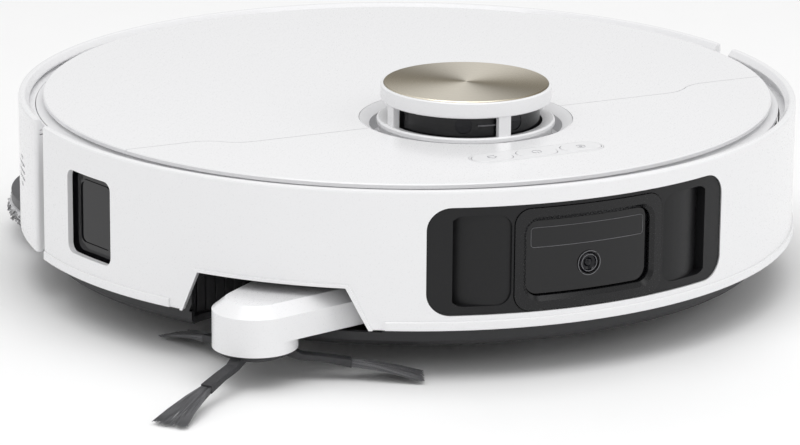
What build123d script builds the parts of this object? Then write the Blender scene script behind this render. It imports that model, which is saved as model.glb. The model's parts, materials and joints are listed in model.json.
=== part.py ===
"""Robot floor cleaner: vacuum and twin spinning mops in one round body.

Row frame, millimetres: the floor is z = 0, +Z is up, the front of the machine is -Y and its
right-hand side is -X.  The origin lies on the body's vertical axis.  Angles are measured from
the front, positive towards +X.
"""
import os
from math import atan2, cos, degrees, hypot, pi, radians, sin

from build123d import *

os.makedirs("parts", exist_ok=True)

# ---------------------------------------------------------------- driving sizes
BODY_R = 175.0            # outer radius of the round body
RIM_Z = 82.0              # height of the rim above the floor
SHELL_BOTTOM = 22.0       # lower edge of the bumper and the rear shell
UNDERSIDE = 12.0          # clearance under the tray floor
SHELL_WALL = 2.6
TRAY_R = BODY_R - 10.0            # outer radius of the tray wall
TRAY_WALL = 2.5
FLOOR_T = 3.0             # thickness of the tray floor
DECK_Z = RIM_Z - 12.0             # underside of the mid deck
DECK_T = 2.5
COVER_R = TRAY_R - 1.0
COVER_T = 2.0
PART_GAP = 0.3            # gap between neighbouring fixed pieces
MOVE_GAP = 0.6            # gap around pieces that move
RUN_GAP = 0.05            # radial clearance of a shaft in its bore

# bumper
BUMPER_END = 91.0         # half angle of the bumper
REAR_START = 95.0         # half angle where the rear shell starts
BUMPER_TRAVEL = 4.5
LIP_R = BODY_R - 4.8             # inner radius of the rolled rim
STRIP_H = 4.0
STRIP_PROUD = 0.9

# front recess with its window
BEZEL_W = 140.0
BEZEL_LOW = 28.5
BEZEL_HIGH = RIM_Z - 7.5
BEZEL_CORNER = 9.5
BEZEL_DEPTH = 7.0
WINDOW_W = 69.6
WINDOW_LOW = 28.8
WINDOW_HIGH = RIM_Z - 9.2
GLASS_W = 57.4
GLASS_LOW = 35.0
GLASS_HIGH = RIM_Z - 15.5
GLASS_CORNER = 5.0
GLASS_SINK = 3.5          # depth of the glass behind the body's skin
GLASS_T = 1.6
MODULE_BACK = BODY_R - 37.0       # distance of the sensor module's back from the axis
LENS_Z = 46.0
LENS_R = 4.4

# side windows in the bumper
SIDE_ANGLE = 77.6
SIDE_W = 32.0
SIDE_LOW = 32.5
SIDE_HIGH = RIM_Z - 12.5
SIDE_CORNER = 4.0

# lidar turret
TURRET_Y = -58.0
TURRET_TOP = RIM_Z + 16.1
TURRET_CAP_R = 37.6
TURRET_DISC_R = 36.3
TURRET_LIP_R = 39.2
TURRET_DRUM_R = 38.0
TURRET_HOLE_R = 42.5
TURRET_BEVEL_R = 46.9
CAP_LOW = RIM_Z + 8.7
WINDOW_SILL = RIM_Z + 0.3
CUP_LOW = RIM_Z - 22.0
ROTOR_R = 32.5
PILLAR_ANGLE = 9.0

# seam between the fixed front cover and the rear lid
SEAM_Y = -57.7
SEAM_BACK_Y = -47.5
SEAM_IN_X = 102.0
SEAM_OUT_X = 126.5
SEAM_GAP = 0.5

# buttons
BUTTON_Y = -124.0
BUTTON_X = (-21.3, 0.0, 21.3)
BUTTON_STRIP_L = 63.0
BUTTON_STRIP_W = 14.5
BUTTON_L = 18.6
BUTTON_W = 10.6
BUTTON_TRAVEL = 0.6
BUTTON_NAMES = ("button_home", "button_power", "button_spot")

# side brush on its swinging arm
BOSS_X = -132.5
BOSS_Y = -126.5
BOSS_R = 18.0
BOSS_LOW = 14.5
ARM_PIVOT_X = -70.0
ARM_PIVOT_Y = -122.0
ARM_PIVOT_R = 8.5
ARM_HEEL_X = -106.0
ARM_HEEL_Y = -96.0
ARM_HEEL_R = 9.0
ARM_LOW = 20.0
ARM_CREASE = 30.7
ARM_TOP = 35.3
ARM_CHAMFER = 5.6
ARM_SWING = 27.0
ARM_SHAFT_R = 3.0
BRUSH_SHAFT_R = 2.5
DISH_R = 15.8
DISH_LOW = 11.0
BRUSH_REACH = 70.5
BRUSH_ROOT = 40.0
BRUSH_PHASE = -144.0
BAY_TOP = 40.0            # lower edge of the opening's top bar
BAY_LEFT_TOP = -56.2
BAY_LEFT_LOW = -59.3
BAY_RIGHT_TOP = -34.5
BAY_RIGHT_LOW = -30.6
TRIM_W = 1.3
TRIM_PROUD = 1.2

# main rollers
ROLLER_FRONT_Y = -54.0
ROLLER_PITCH = 34.0       # distance between the two roller axes
ROLLER_Z = 18.0
ROLLER_R = 16.0
ROLLER_CORE_R = 11.0
ROLLER_HALF = 75.0
ROLLER_SHAFT_R = 3.0
ROLLER_FINS = 6
TUNNEL_R = 17.6
HOUSING_T = 2.0
GEAR_TEETH = 17
GEAR_W = 7.0
GEAR_BACKLASH = 0.5

# driven wheels
WHEEL_X = 125.0
WHEEL_Y = -10.0
WHEEL_R = 34.0
WHEEL_W = 23.0
WHEEL_RIM_R = 26.0
WHEEL_AXLE_R = 4.0
WHEEL_PIVOT_Y = -62.0
WHEEL_PIVOT_Z = 38.0
WHEEL_PIN_R = 3.0
WHEEL_ARM_X = 105.5
WHEEL_ARM_T = 9.0

# caster
CASTER_Y = -127.0
CASTER_TRAIL = 6.0
CASTER_WHEEL_R = 13.0
CASTER_WHEEL_W = 15.0
CASTER_R = 19.0
CASTER_PIN_R = 4.0
CASTER_AXLE_R = 1.5

# mops
MOP_X = 73.0              # retracted mop axis, either side
MOP_Y = 82.0
MOP_OUT_X = -80.0         # extended axis of the right mop
MOP_OUT_Y = 95.0
MOP_R = 72.0
MOP_PLATE_R = 70.5
MOP_LOW = 10.5
MOP_PAD_TOP = 17.0
MOP_PLATE_TOP = 21.3
MOP_BAY_GAP = 5.0
MOP_CEILING = 25.0
MOP_SHAFT_R = 5.0
MOP_NECK_R = 9.0
MOP_GEARBOX_R = 19.0
MOP_GEARBOX_LOW = 29.0
MOP_GEARBOX_TOP = 41.5
MOP_PIVOT_X = -32.5
MOP_PIVOT_Y = 112.2

# dust box, water tank, fan, battery, board
DUST_X0, DUST_X1 = -78.0, 68.0
DUST_Y0, DUST_Y1 = -13.4, 74.0
DUST_Z0, DUST_Z1 = 46.5, RIM_Z - 6.0
DUST_WALL = 2.0
TANK_Y = 80.0
TANK_R = BODY_R - 22.5
TANK_HALF_X = 75.0
TANK_Z0, TANK_Z1 = 47.5, RIM_Z - 6.0
TANK_WALL = 2.2
FAN_X, FAN_Y = 106.0, 66.0
FAN_R = 29.0
FAN_Z0, FAN_Z1 = 42.0, DECK_Z - 0.5
BATTERY_X0, BATTERY_X1 = 24.0, 98.0
BATTERY_Y0, BATTERY_Y1 = -127.0, -80.0
BATTERY_Z0, BATTERY_Z1 = 15.3, 40.0
BOARD_Z = DECK_Z - 2.5
BOARD_T = 1.6

# ---------------------------------------------------------------- derived places
TRAY_FLOOR_TOP = UNDERSIDE + FLOOR_T
INNER_R = BODY_R - SHELL_WALL
COVER_Z = RIM_Z - COVER_T
DECK_TOP = DECK_Z + DECK_T
ROLLER_REAR_Y = ROLLER_FRONT_Y + ROLLER_PITCH
GEAR_MODULE = ROLLER_PITCH / GEAR_TEETH
GLASS_R = BODY_R - GLASS_SINK
HOUSING_X0 = -(ROLLER_HALF + 5)
HOUSING_X1 = ROLLER_HALF + 17
HOUSING_Y0 = ROLLER_FRONT_Y - TUNNEL_R - HOUSING_T
HOUSING_Y1 = ROLLER_REAR_Y + TUNNEL_R + HOUSING_T
HOUSING_TOP = ROLLER_Z + TUNNEL_R + HOUSING_T
EAR_T = 3.0
DECK_FRONT_R = BODY_R - BEZEL_DEPTH - BUMPER_TRAVEL - 2.0     # clear of the pushed bezel
COLLAR_BACK_Y = DUST_Y0 - MOVE_GAP
LEDGE = [(TRAY_R + PART_GAP, 50), (INNER_R + 0.2, 46), (INNER_R + 0.2, 54), (TRAY_R + PART_GAP, 52)]
CHANNEL_R = BODY_R - 7.8         # outer edge of the deck's channel, clear of the pushed bumper
REAR_CHANNEL = [
    (CHANNEL_R + PART_GAP, RIM_Z - 4.9), (INNER_R + 0.2, RIM_Z - 5.2),
    (INNER_R + 0.2, RIM_Z - 6.6), (CHANNEL_R + PART_GAP, RIM_Z - 6.0),
]
CHANNEL_RING = [
    (154, DECK_TOP - 0.5), (154, COVER_Z - PART_GAP), (160, COVER_Z - PART_GAP),
    (COVER_R, RIM_Z - 4.0), (CHANNEL_R, RIM_Z - 4.7), (CHANNEL_R, RIM_Z - 6.2),
    (DECK_FRONT_R - 0.5, RIM_Z - 6.6), (DECK_FRONT_R - 0.5, DECK_TOP - 0.5),
]
GUIDE_R = 43.3            # hole of the deck under the turret's collar
GUIDE_LOW = RIM_Z - 36.5
TURRET_COLLAR = [
    (TURRET_HOLE_R, DECK_TOP - 1), (TURRET_HOLE_R, RIM_Z - 2.8), (TURRET_BEVEL_R - 0.2, RIM_Z),
    (TURRET_BEVEL_R, RIM_Z - 0.2), (TURRET_BEVEL_R, COVER_Z - 0.3), (GUIDE_R + 0.5, RIM_Z - 4),
    (GUIDE_R + 0.5, DECK_TOP - 1),
]
TURRET_GUIDE = [
    (39.8, GUIDE_LOW), (41.4, GUIDE_LOW), (41.4, DECK_Z + 0.5), (GUIDE_R + 1, DECK_Z + 0.5),
    (GUIDE_R + 1, DECK_TOP), (39.8, DECK_TOP),
]
CASTER_SOCKET = [
    (CASTER_R + MOVE_GAP, TRAY_FLOOR_TOP - 1), (CASTER_R + 3, TRAY_FLOOR_TOP - 1),
    (CASTER_R + 3, 30.5), (CASTER_PIN_R + 3, 36), (CASTER_PIN_R + RUN_GAP, 36),
    (CASTER_PIN_R + RUN_GAP, 28.6), (CASTER_R + MOVE_GAP, 28.6),
]
CLIFF_ANGLES = (-18.0, 18.0, 60.0, -72.0)
CLIFF_R = BODY_R - 25.0
END_RETURN = 1.0          # thickness of the rear shell's turned-in ends, in degrees
END_ROUND = 2.2
GRILLE_ANGLE = 103.9
GRILLE_Z = RIM_Z - 29.6
GRILLE_PITCH = 3.1
GRILLE_SLOT = 1.4
GRILLE_LENGTHS = (6.5, 14.5, 15.5, 15.5, 6.5)
CONTACT_X = 24.0
CONTACT_Z = 37.0
CONTACT_W = 15.0
CONTACT_H = 10.0
CONTACT_PROUD = 0.6
BUTTON_PROUD = 0.25
BUTTON_STEM_LOW = RIM_Z - 6.0
BOARD_POSTS = ((58, -104), (104, -104), (58, -56), (104, -56))
COVER_PADS = ((-80, -100), (80, -100), (-110, -20), (110, -20), (-110, 60), (110, 100))
MOTOR_R = 12.0
ROTOR_LOW = DECK_Z
ROTOR_SHAFT_R = 3.0
LENS_ANGLES = (-29.0, 14.0)
ROTOR_LENS_Z = RIM_Z + 4.4
ROTOR_LENS_R = 3.6
RACK_MODULE = 1.3
RACK_BACKLASH = 0.4
RACK_W = 6.0
RACK_ROOT_Y = TURRET_Y - TURRET_DRUM_R - 2.5
RACK_PITCH_Y = RACK_ROOT_Y - 1.15 * RACK_MODULE
RACK_LOW = RIM_Z - 40.0
RACK_HIGH = DECK_Z - 0.4
RACK_BACK_Y = TURRET_Y - TURRET_DRUM_R + 0.4
RACK_TEETH = 6
RACK_TEETH_BELOW = 1
RACK_HALF = (pi * RACK_MODULE / 2 - RACK_BACKLASH) / 2
RACK_TOOTH = [
    (RACK_ROOT_Y + 0.2, RACK_HALF + 0.42 * RACK_MODULE),
    (RACK_PITCH_Y - 0.8 * RACK_MODULE, RACK_HALF - 0.3 * RACK_MODULE),
    (RACK_PITCH_Y - 0.8 * RACK_MODULE, -RACK_HALF + 0.3 * RACK_MODULE),
    (RACK_ROOT_Y + 0.2, -RACK_HALF - 0.42 * RACK_MODULE),
]
STRIP_PROFILE = [
    (INNER_R + 0.5, SHELL_BOTTOM + 0.1), (BODY_R + STRIP_PROUD - 0.3, SHELL_BOTTOM + 0.1),
    (BODY_R + STRIP_PROUD, SHELL_BOTTOM + 0.5), (BODY_R + STRIP_PROUD, SHELL_BOTTOM + STRIP_H - 0.4),
    (BODY_R + STRIP_PROUD - 0.3, SHELL_BOTTOM + STRIP_H), (INNER_R + 0.5, SHELL_BOTTOM + STRIP_H),
]
BUMPER_FLANGE = [
    (CHANNEL_R + 0.7, RIM_Z - 8.8), (INNER_R + 0.2, RIM_Z - 9.4),
    (INNER_R + 0.2, RIM_Z - 7.4), (CHANNEL_R + 0.7, RIM_Z - 7.4),
]
BEZEL_SPAN = 26.0
WINDOW_CORNER = 7.0
POCKET_X0 = 36.0
POCKET_X1 = 61.5
POCKET_H = 39.0
POCKET_CORNER = 6.0
POCKET_MID_X = 51.0
POCKET_MID_Y = -(BODY_R - 9.8)
SIDE_PANEL_R = BODY_R - 6.4
CAMERA_PROFILE = [
    (-GLASS_R + 6, LENS_Z), (-GLASS_R + 6, LENS_Z + LENS_R), (-GLASS_R + 0.2, LENS_Z + LENS_R),
    (-GLASS_R - 0.3, LENS_Z + LENS_R - 0.5), (-GLASS_R + 0.7, LENS_Z + LENS_R - 1.2),
    (-GLASS_R + 0.9, LENS_Z + 2.0), (-GLASS_R + 0.3, LENS_Z + 1.4), (-GLASS_R, LENS_Z),
]
BRUSH_MOTOR_R = 12.5
BRUSH_MOTOR_TOP = 31.0
BRUSH_ARM_W = 5.0
BRUSH_ARM_PROFILE = [
    (10, BOSS_LOW - 0.4), (14, BOSS_LOW - 0.4), (19.5, UNDERSIDE - 0.8), (30, UNDERSIDE - 2),
    (BRUSH_ROOT, 8.6), (BRUSH_ROOT, 5.2), (29, UNDERSIDE - 4.4), (18, UNDERSIDE - 3.2), (10, DISH_LOW + 0.4),
]
BAY_CEILING_TOP = 40.0
BAY_PLAN = [
    (-150, -73), (-112, -72), (-95, -71), (-86, -78), (-60, -78), (-52, -98), (-52, -135),
    (-80, -150), (-160, -150), (-160, -70),
]
BAY_WALL = [(-95, -71.5), (-112, -73.2), (-143, -74.5)]
GEAR_X = ROLLER_HALF + 3.5
THROAT_W = 54.0
THROAT_Y0 = -11.0
THROAT_Y1 = -3.0
MOTOR_X0 = 50.0
MOTOR_Y = -37.0
MOTOR_Z = 52.0
WHEEL_PIN_HALF = WHEEL_ARM_T / 2 + EAR_T + PART_GAP
TYRE_LUGS = 24
ARM_CARRIER_LOW = 30.0
ARM_CARRIER_TOP = 33.0
MOP_PIN_R = 3.0
FAN_WALL = 2.0
FAN_SPOUT_Y = 58.0
FAN_SPOUT_W = 20.0
FAN_SPOUT_Z = 57.0
FAN_SPOUT_H = 16.0
FAN_SHAFT_R = 2.0
FAN_ANGLE = 180 - degrees(atan2(FAN_X, FAN_Y))
TANK_PORT_X = 60.0
TANK_PORT_Y = 98.0
TANK_PORT_R = 7.0
SCREWS = ((-60, -100), (30, -140), (112, -84), (8, 20), (-8, 20), (-30, -100))
SCREW_HEAD_R = 3.0
SCREW_HEAD_H = 1.6
PINION_TEETH = 12
PINION_W = 5.0
PINION_SHAFT_R = 2.0
PINION_Z = RIM_Z - 32.0
PINION_Y = RACK_PITCH_Y - PINION_TEETH * RACK_MODULE / 2
EAR_IN_X = WHEEL_ARM_X - WHEEL_ARM_T / 2 - EAR_T / 2 - PART_GAP
EAR_OUT_X = WHEEL_ARM_X + WHEEL_ARM_T / 2 + EAR_T / 2 + PART_GAP
WHEEL_WELL_X = (WHEEL_ARM_X - WHEEL_ARM_T / 2 - 1.5 + WHEEL_X + WHEEL_W / 2 + 2.5) / 2
WHEEL_WELL_W = WHEEL_X + WHEEL_W / 2 + 2.5 - (WHEEL_ARM_X - WHEEL_ARM_T / 2 - 1.5)
WHEEL_WELL_Y0 = WHEEL_Y - WHEEL_R - 8.0
WHEEL_WELL_L = WHEEL_Y + WHEEL_R + 5.0 - WHEEL_WELL_Y0
WHEEL_WELL_Y = WHEEL_WELL_Y0 + WHEEL_WELL_L / 2
MOP_BAY_R = MOP_R + MOP_BAY_GAP


def polar(angle, radius):
    """Point in plan at an angle from the front."""
    return radius * sin(radians(angle)), -radius * cos(radians(angle))


def radial_plane(angle):
    """Upright plane through the body axis: local x is the radius, local y is the height."""
    x, y = polar(angle, 1)
    return Plane(origin=(0, 0, 0), x_dir=(x, y, 0), z_dir=(y, -x, 0))


def wall_plane(angle, radius, height=0.0):
    """Plane that faces outwards from the body: local x runs round the body, local y is up."""
    x, y = polar(angle, radius)
    outwards = (x / radius, y / radius, 0)
    return Plane(origin=(x, y, height), x_dir=(-outwards[1], outwards[0], 0), z_dir=outwards)


def gear_points(teeth, module, backlash):
    """Outline of a spur gear with straight-sided teeth, one tooth centred on local x."""
    pitch_r = teeth * module / 2
    half = (pi * module / 2 - backlash) / 2
    steps = (
        (pitch_r - 1.1 * module, half + 0.42 * module),
        (pitch_r, half),
        (pitch_r + 0.8 * module, half - 0.34 * module),
    )
    points = []
    for tooth in range(teeth):
        middle = radians(360 * tooth / teeth)
        for side, rows in ((-1, steps), (1, reversed(steps))):
            for radius, width in rows:
                angle = middle + side * width / radius
                points.append((radius * cos(angle), radius * sin(angle)))
    return points


def swung_mop(share):
    """Axis of the right mop when its arm has swung in by a share of its range."""
    start = atan2(MOP_OUT_Y - MOP_PIVOT_Y, MOP_OUT_X - MOP_PIVOT_X)
    end = atan2(MOP_Y - MOP_PIVOT_Y, -MOP_X - MOP_PIVOT_X)
    turn = start + share * ((end - start) % (2 * pi))
    reach = hypot(MOP_OUT_X - MOP_PIVOT_X, MOP_OUT_Y - MOP_PIVOT_Y)
    return MOP_PIVOT_X + reach * cos(turn), MOP_PIVOT_Y + reach * sin(turn)


def save(builder, name):
    """Label a finished piece and write it."""
    builder.part.label = name
    export_step(builder.part, f"parts/{name}.step")


def skin_profile():
    """Section of the outer wall, from its lower edge to the rolled rim, as radius and height."""
    return [
        (INNER_R, SHELL_BOTTOM),
        (BODY_R - 0.4, SHELL_BOTTOM),
        (BODY_R, SHELL_BOTTOM + 0.4),
        (BODY_R, RIM_Z - 1.0),
        (BODY_R - 0.3, RIM_Z - 0.3),
        (BODY_R - 1.0, RIM_Z),
        (BODY_R - 2.4, RIM_Z),
        (BODY_R - 3.0, RIM_Z - 0.3),
        (LIP_R, RIM_Z - 2.6),
        (LIP_R, RIM_Z - 3.3),
        (INNER_R, RIM_Z - 4.8),
    ]


def bay_corners(grow):
    """Corners of the side brush opening on the developed wall, as angle and height."""
    side = degrees(grow / BODY_R)
    return (
        (BAY_LEFT_LOW - side, SHELL_BOTTOM - 4),
        (BAY_LEFT_TOP - side, BAY_TOP + grow),
        (BAY_RIGHT_TOP + side, BAY_TOP + grow),
        (BAY_RIGHT_LOW + side, SHELL_BOTTOM - 4),
    )


def bay_outline(grow):
    """The opening's outline on a plane that faces the opening from outside."""
    points = []
    for angle, height in bay_corners(grow):
        points.append((BODY_R * sin(radians(angle - BAY_ANGLE)), height))
    return points


BAY_ANGLE = (BAY_LEFT_LOW + BAY_RIGHT_LOW) / 2

# ---------------------------------------------------------------- tools shared by cuts
with BuildPart() as bay_cut:
    with BuildSketch(wall_plane(BAY_ANGLE, BODY_R - 30)):
        Polygon(*bay_outline(0), align=None)
    extrude(amount=50)

with BuildPart() as bay_frame_prism:
    # raised frame round the opening, as a slice of a slightly larger shell
    with BuildSketch(wall_plane(BAY_ANGLE, BODY_R - 30)):
        Polygon(*bay_outline(TRIM_W), align=None)
    extrude(amount=50)
    with BuildSketch(Plane.XY.offset(SHELL_BOTTOM)):
        Circle(BODY_R + TRIM_PROUD)
        Circle(INNER_R, mode=Mode.SUBTRACT)
    extrude(amount=RIM_Z - SHELL_BOTTOM, mode=Mode.INTERSECT)

with BuildPart() as arm_sweep:
    # room that the swinging arm's boss needs in the floor of the tray
    with BuildSketch(Plane.XY.offset(UNDERSIDE - 1)):
        for step in range(5):
            turn = radians(-ARM_SWING * step / 4)
            dx, dy = BOSS_X - ARM_PIVOT_X, BOSS_Y - ARM_PIVOT_Y
            centre = (
                ARM_PIVOT_X + dx * cos(turn) - dy * sin(turn),
                ARM_PIVOT_Y + dx * sin(turn) + dy * cos(turn),
            )
            with Locations(centre):
                Circle(BOSS_R + 2.5)
        Polygon((BOSS_X - 40, BOSS_Y - 10), (BOSS_X, BOSS_Y - 30), (BOSS_X, BOSS_Y), align=None)
    extrude(amount=SHELL_BOTTOM)

with BuildPart() as mop_bays:
    # room that both mop discs need under the tray, with the right one in and out
    with BuildSketch(Plane.XY.offset(UNDERSIDE - 1)):
        with Locations((MOP_X, MOP_Y), (-MOP_X, MOP_Y), (MOP_OUT_X, MOP_OUT_Y)):
            Circle(MOP_BAY_R)
        with Locations(((MOP_OUT_X - MOP_X) / 2, (MOP_Y + MOP_OUT_Y) / 2)):
            Circle(MOP_BAY_R)
        with Locations((0, MOP_Y + 70)):
            Rectangle(2 * MOP_X, 140)
    extrude(amount=MOP_CEILING - UNDERSIDE + 1)

# ================================================================ chassis
with BuildPart() as base_tray:
    with BuildSketch(Plane.XY.offset(UNDERSIDE)):
        Circle(TRAY_R)
    extrude(amount=FLOOR_T)
    with BuildSketch(Plane.XY.offset(UNDERSIDE)):
        Circle(TRAY_R)
        Circle(TRAY_R - TRAY_WALL, mode=Mode.SUBTRACT)
    extrude(amount=DECK_Z - PART_GAP - UNDERSIDE)
    chamfer(base_tray.faces().sort_by(Axis.Z)[0].outer_wire().edges(), 2.4)
    # mop bays: cut up to their ceiling, then the ceiling and its side walls
    add(mop_bays.part, mode=Mode.SUBTRACT)
    with BuildSketch(Plane.XY.offset(MOP_CEILING)):
        with Locations((MOP_X, MOP_Y), (-MOP_X, MOP_Y), (MOP_OUT_X, MOP_OUT_Y)):
            Circle(MOP_BAY_R + FLOOR_T)
        with Locations((0, MOP_Y + 70)):
            Rectangle(2 * MOP_X, 146)
        Circle(TRAY_R, mode=Mode.INTERSECT)
    extrude(amount=FLOOR_T)
    with BuildSketch(Plane.XY.offset(UNDERSIDE)):
        with Locations((MOP_X, MOP_Y), (-MOP_X, MOP_Y), (MOP_OUT_X, MOP_OUT_Y)):
            Circle(MOP_BAY_R + FLOOR_T)
        with Locations((MOP_X, MOP_Y), (-MOP_X, MOP_Y), (MOP_OUT_X, MOP_OUT_Y)):
            Circle(MOP_BAY_R, mode=Mode.SUBTRACT)
        with Locations(((MOP_OUT_X - MOP_X) / 2, (MOP_Y + MOP_OUT_Y) / 2)):
            Circle(MOP_BAY_R, mode=Mode.SUBTRACT)
        with Locations((0, MOP_Y + 70)):
            Rectangle(2 * MOP_X, 140, mode=Mode.SUBTRACT)
        Circle(TRAY_R, mode=Mode.INTERSECT)
    extrude(amount=MOP_CEILING - UNDERSIDE)
    # side brush bay: open wall, open floor under the boss
    add(bay_cut.part, mode=Mode.SUBTRACT)
    add(arm_sweep.part, mode=Mode.SUBTRACT)
    # opening for the roller housing
    with BuildSketch(Plane.XY.offset(UNDERSIDE - 1)):
        with Locations(((HOUSING_X0 + HOUSING_X1) / 2, (HOUSING_Y0 + HOUSING_Y1) / 2)):
            Rectangle(HOUSING_X1 - HOUSING_X0 + 2 * PART_GAP, HOUSING_Y1 - HOUSING_Y0 + 2 * PART_GAP)
    extrude(amount=FLOOR_T + 2, mode=Mode.SUBTRACT)
    # wheel wells, with room for the arms
    with BuildSketch(Plane.XY.offset(UNDERSIDE - 1)):
        for side in (-1, 1):
            with Locations((side * WHEEL_WELL_X, WHEEL_WELL_Y)):
                RectangleRounded(WHEEL_WELL_W, WHEEL_WELL_L, 4)
    extrude(amount=MOP_CEILING + FLOOR_T + 2 - UNDERSIDE, mode=Mode.SUBTRACT)
    # round well of the caster
    with Locations((0, CASTER_Y, UNDERSIDE)):
        Cylinder(CASTER_R + MOVE_GAP, 2 * FLOOR_T + 1, mode=Mode.SUBTRACT)
    # wide front opening for the sensor module and the recess behind the bumper
    with BuildSketch(Plane.XZ.offset(TRAY_R - 30)):
        with Locations((0, (BEZEL_LOW + BEZEL_HIGH) / 2 - 1)):
            Rectangle(BEZEL_W + 12, BEZEL_HIGH - BEZEL_LOW + 6)
    extrude(amount=40, mode=Mode.SUBTRACT)
    # side window boxes reach through the wall
    for side in (-1, 1):
        with BuildSketch(wall_plane(side * SIDE_ANGLE, TRAY_R - 12)):
            with Locations((0, (SIDE_LOW + SIDE_HIGH) / 2)):
                Rectangle(SIDE_W + 14, SIDE_HIGH - SIDE_LOW + 6)
        extrude(amount=20, mode=Mode.SUBTRACT)
    # collar that guides the left gearbox up and down
    with BuildSketch(Plane.XY.offset(MOP_CEILING)):
        with Locations((MOP_X, MOP_Y)):
            Circle(MOP_GEARBOX_R + MOVE_GAP + 2.4)
    extrude(amount=9)
    with Locations((MOP_X, MOP_Y, MOP_CEILING)):
        Cylinder(MOP_GEARBOX_R + MOVE_GAP, 30, mode=Mode.SUBTRACT)
    # the right gearbox goes through a slot along its arm's swing
    with BuildSketch(Plane.XY.offset(MOP_CEILING - 1)):
        for step in range(5):
            with Locations(swung_mop(step / 4)):
                Circle(MOP_GEARBOX_R + 1.5)
    extrude(amount=FLOOR_T + 2, mode=Mode.SUBTRACT)
    # pivot ears for both wheel arms
    for side in (-1, 1):
        for ear_x in (EAR_IN_X, EAR_OUT_X):
            with BuildSketch(Plane.YZ.offset(side * ear_x - EAR_T / 2)):
                with Locations((WHEEL_PIVOT_Y, WHEEL_PIVOT_Z)):
                    Circle(6)
                with Locations((WHEEL_PIVOT_Y - 1, (TRAY_FLOOR_TOP + WHEEL_PIVOT_Z) / 2 - 0.5)):
                    Rectangle(10, WHEEL_PIVOT_Z - TRAY_FLOOR_TOP + 1)
                with Locations((WHEEL_PIVOT_Y, WHEEL_PIVOT_Z)):
                    Circle(WHEEL_PIN_R + RUN_GAP, mode=Mode.SUBTRACT)
            extrude(amount=EAR_T)
    # socket of the caster
    with BuildSketch(Plane.XZ.offset(-CASTER_Y)):
        Polygon(*CASTER_SOCKET, align=None)
    revolve(axis=Axis((0, CASTER_Y, 0), (0, 0, 1)))
    # pockets of the cliff sensors
    for angle in CLIFF_ANGLES:
        with BuildSketch(wall_plane(angle, CLIFF_R - 3.5)):
            with Locations((0, UNDERSIDE + FLOOR_T / 2)):
                Rectangle(12 + 2 * PART_GAP, FLOOR_T + 2)
        extrude(amount=7, mode=Mode.SUBTRACT)
save(base_tray, "base_tray")

with BuildPart() as cliff_sensors:
    for angle in CLIFF_ANGLES:
        with BuildSketch(wall_plane(angle, CLIFF_R - 3.5 + PART_GAP)):
            with Locations((0, UNDERSIDE + FLOOR_T / 2 + 0.2)):
                Rectangle(12, FLOOR_T)
        extrude(amount=7 - 2 * PART_GAP)
save(cliff_sensors, "cliff_sensors")

with BuildPart() as rear_shell:
    with BuildSketch(radial_plane(REAR_START)):
        Polygon(*skin_profile(), align=None)
        Polygon(*LEDGE, align=None)
        Polygon(*REAR_CHANNEL, align=None)
    revolve(axis=Axis.Z, revolution_arc=360 - 2 * REAR_START)
    # the two upright ends turn inwards
    for start in (REAR_START, 360 - REAR_START - END_RETURN):
        with BuildSketch(radial_plane(start)):
            Polygon(
                (TRAY_R + PART_GAP, SHELL_BOTTOM + 6),
                (INNER_R + 0.2, SHELL_BOTTOM),
                (INNER_R + 0.2, RIM_Z - 7),
                (TRAY_R + PART_GAP, RIM_Z - 7),
                align=None,
            )
        revolve(axis=Axis.Z, revolution_arc=END_RETURN)
    ends = rear_shell.edges().filter_by(Axis.Z).filter_by(lambda e: e.length > 40)
    fillet(ends.sort_by_distance((0, 0, RIM_Z / 2))[-2:], END_ROUND)
    # slotted grilles near both ends
    for side in (-1, 1):
        with BuildSketch(wall_plane(side * GRILLE_ANGLE, BODY_R - 6, GRILLE_Z)):
            for row, length in enumerate(GRILLE_LENGTHS):
                with Locations((0, (2 - row) * GRILLE_PITCH)):
                    SlotOverall(length, GRILLE_SLOT)
        extrude(amount=10, mode=Mode.SUBTRACT)
    # windows of the two charging contacts
    with BuildSketch(Plane.XZ.offset(-BODY_R + 8)):
        with Locations((-CONTACT_X, CONTACT_Z), (CONTACT_X, CONTACT_Z)):
            Rectangle(CONTACT_W + 2 * PART_GAP, CONTACT_H + 2 * PART_GAP)
    extrude(amount=-10, mode=Mode.SUBTRACT)
save(rear_shell, "rear_shell")

with BuildPart() as charging_contacts:
    with BuildSketch(Plane.XZ.offset(-TRAY_R - PART_GAP)):
        with Locations((-CONTACT_X, CONTACT_Z), (CONTACT_X, CONTACT_Z)):
            RectangleRounded(CONTACT_W, CONTACT_H, 1.5)
    extrude(amount=-(BODY_R + CONTACT_PROUD - TRAY_R - PART_GAP))
save(charging_contacts, "charging_contacts")

# plan of the water tank, of its inside and of the bay that it stands in
tank_plans = []
for grow in (0, 0.8, -TANK_WALL):
    with BuildSketch() as tank_plan:
        with Locations((0, (TANK_Y - grow + BODY_R) / 2)):
            Rectangle(2 * (TANK_HALF_X + grow), BODY_R - TANK_Y + grow)
        Circle(TANK_R + grow, mode=Mode.INTERSECT)
    tank_plans.append(tank_plan.sketch)

with BuildSketch() as front_notch:
    with Locations((0, -BODY_R / 2)):
        Rectangle(BEZEL_W + 12, BODY_R)
    Circle(DECK_FRONT_R, mode=Mode.SUBTRACT)

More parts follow.
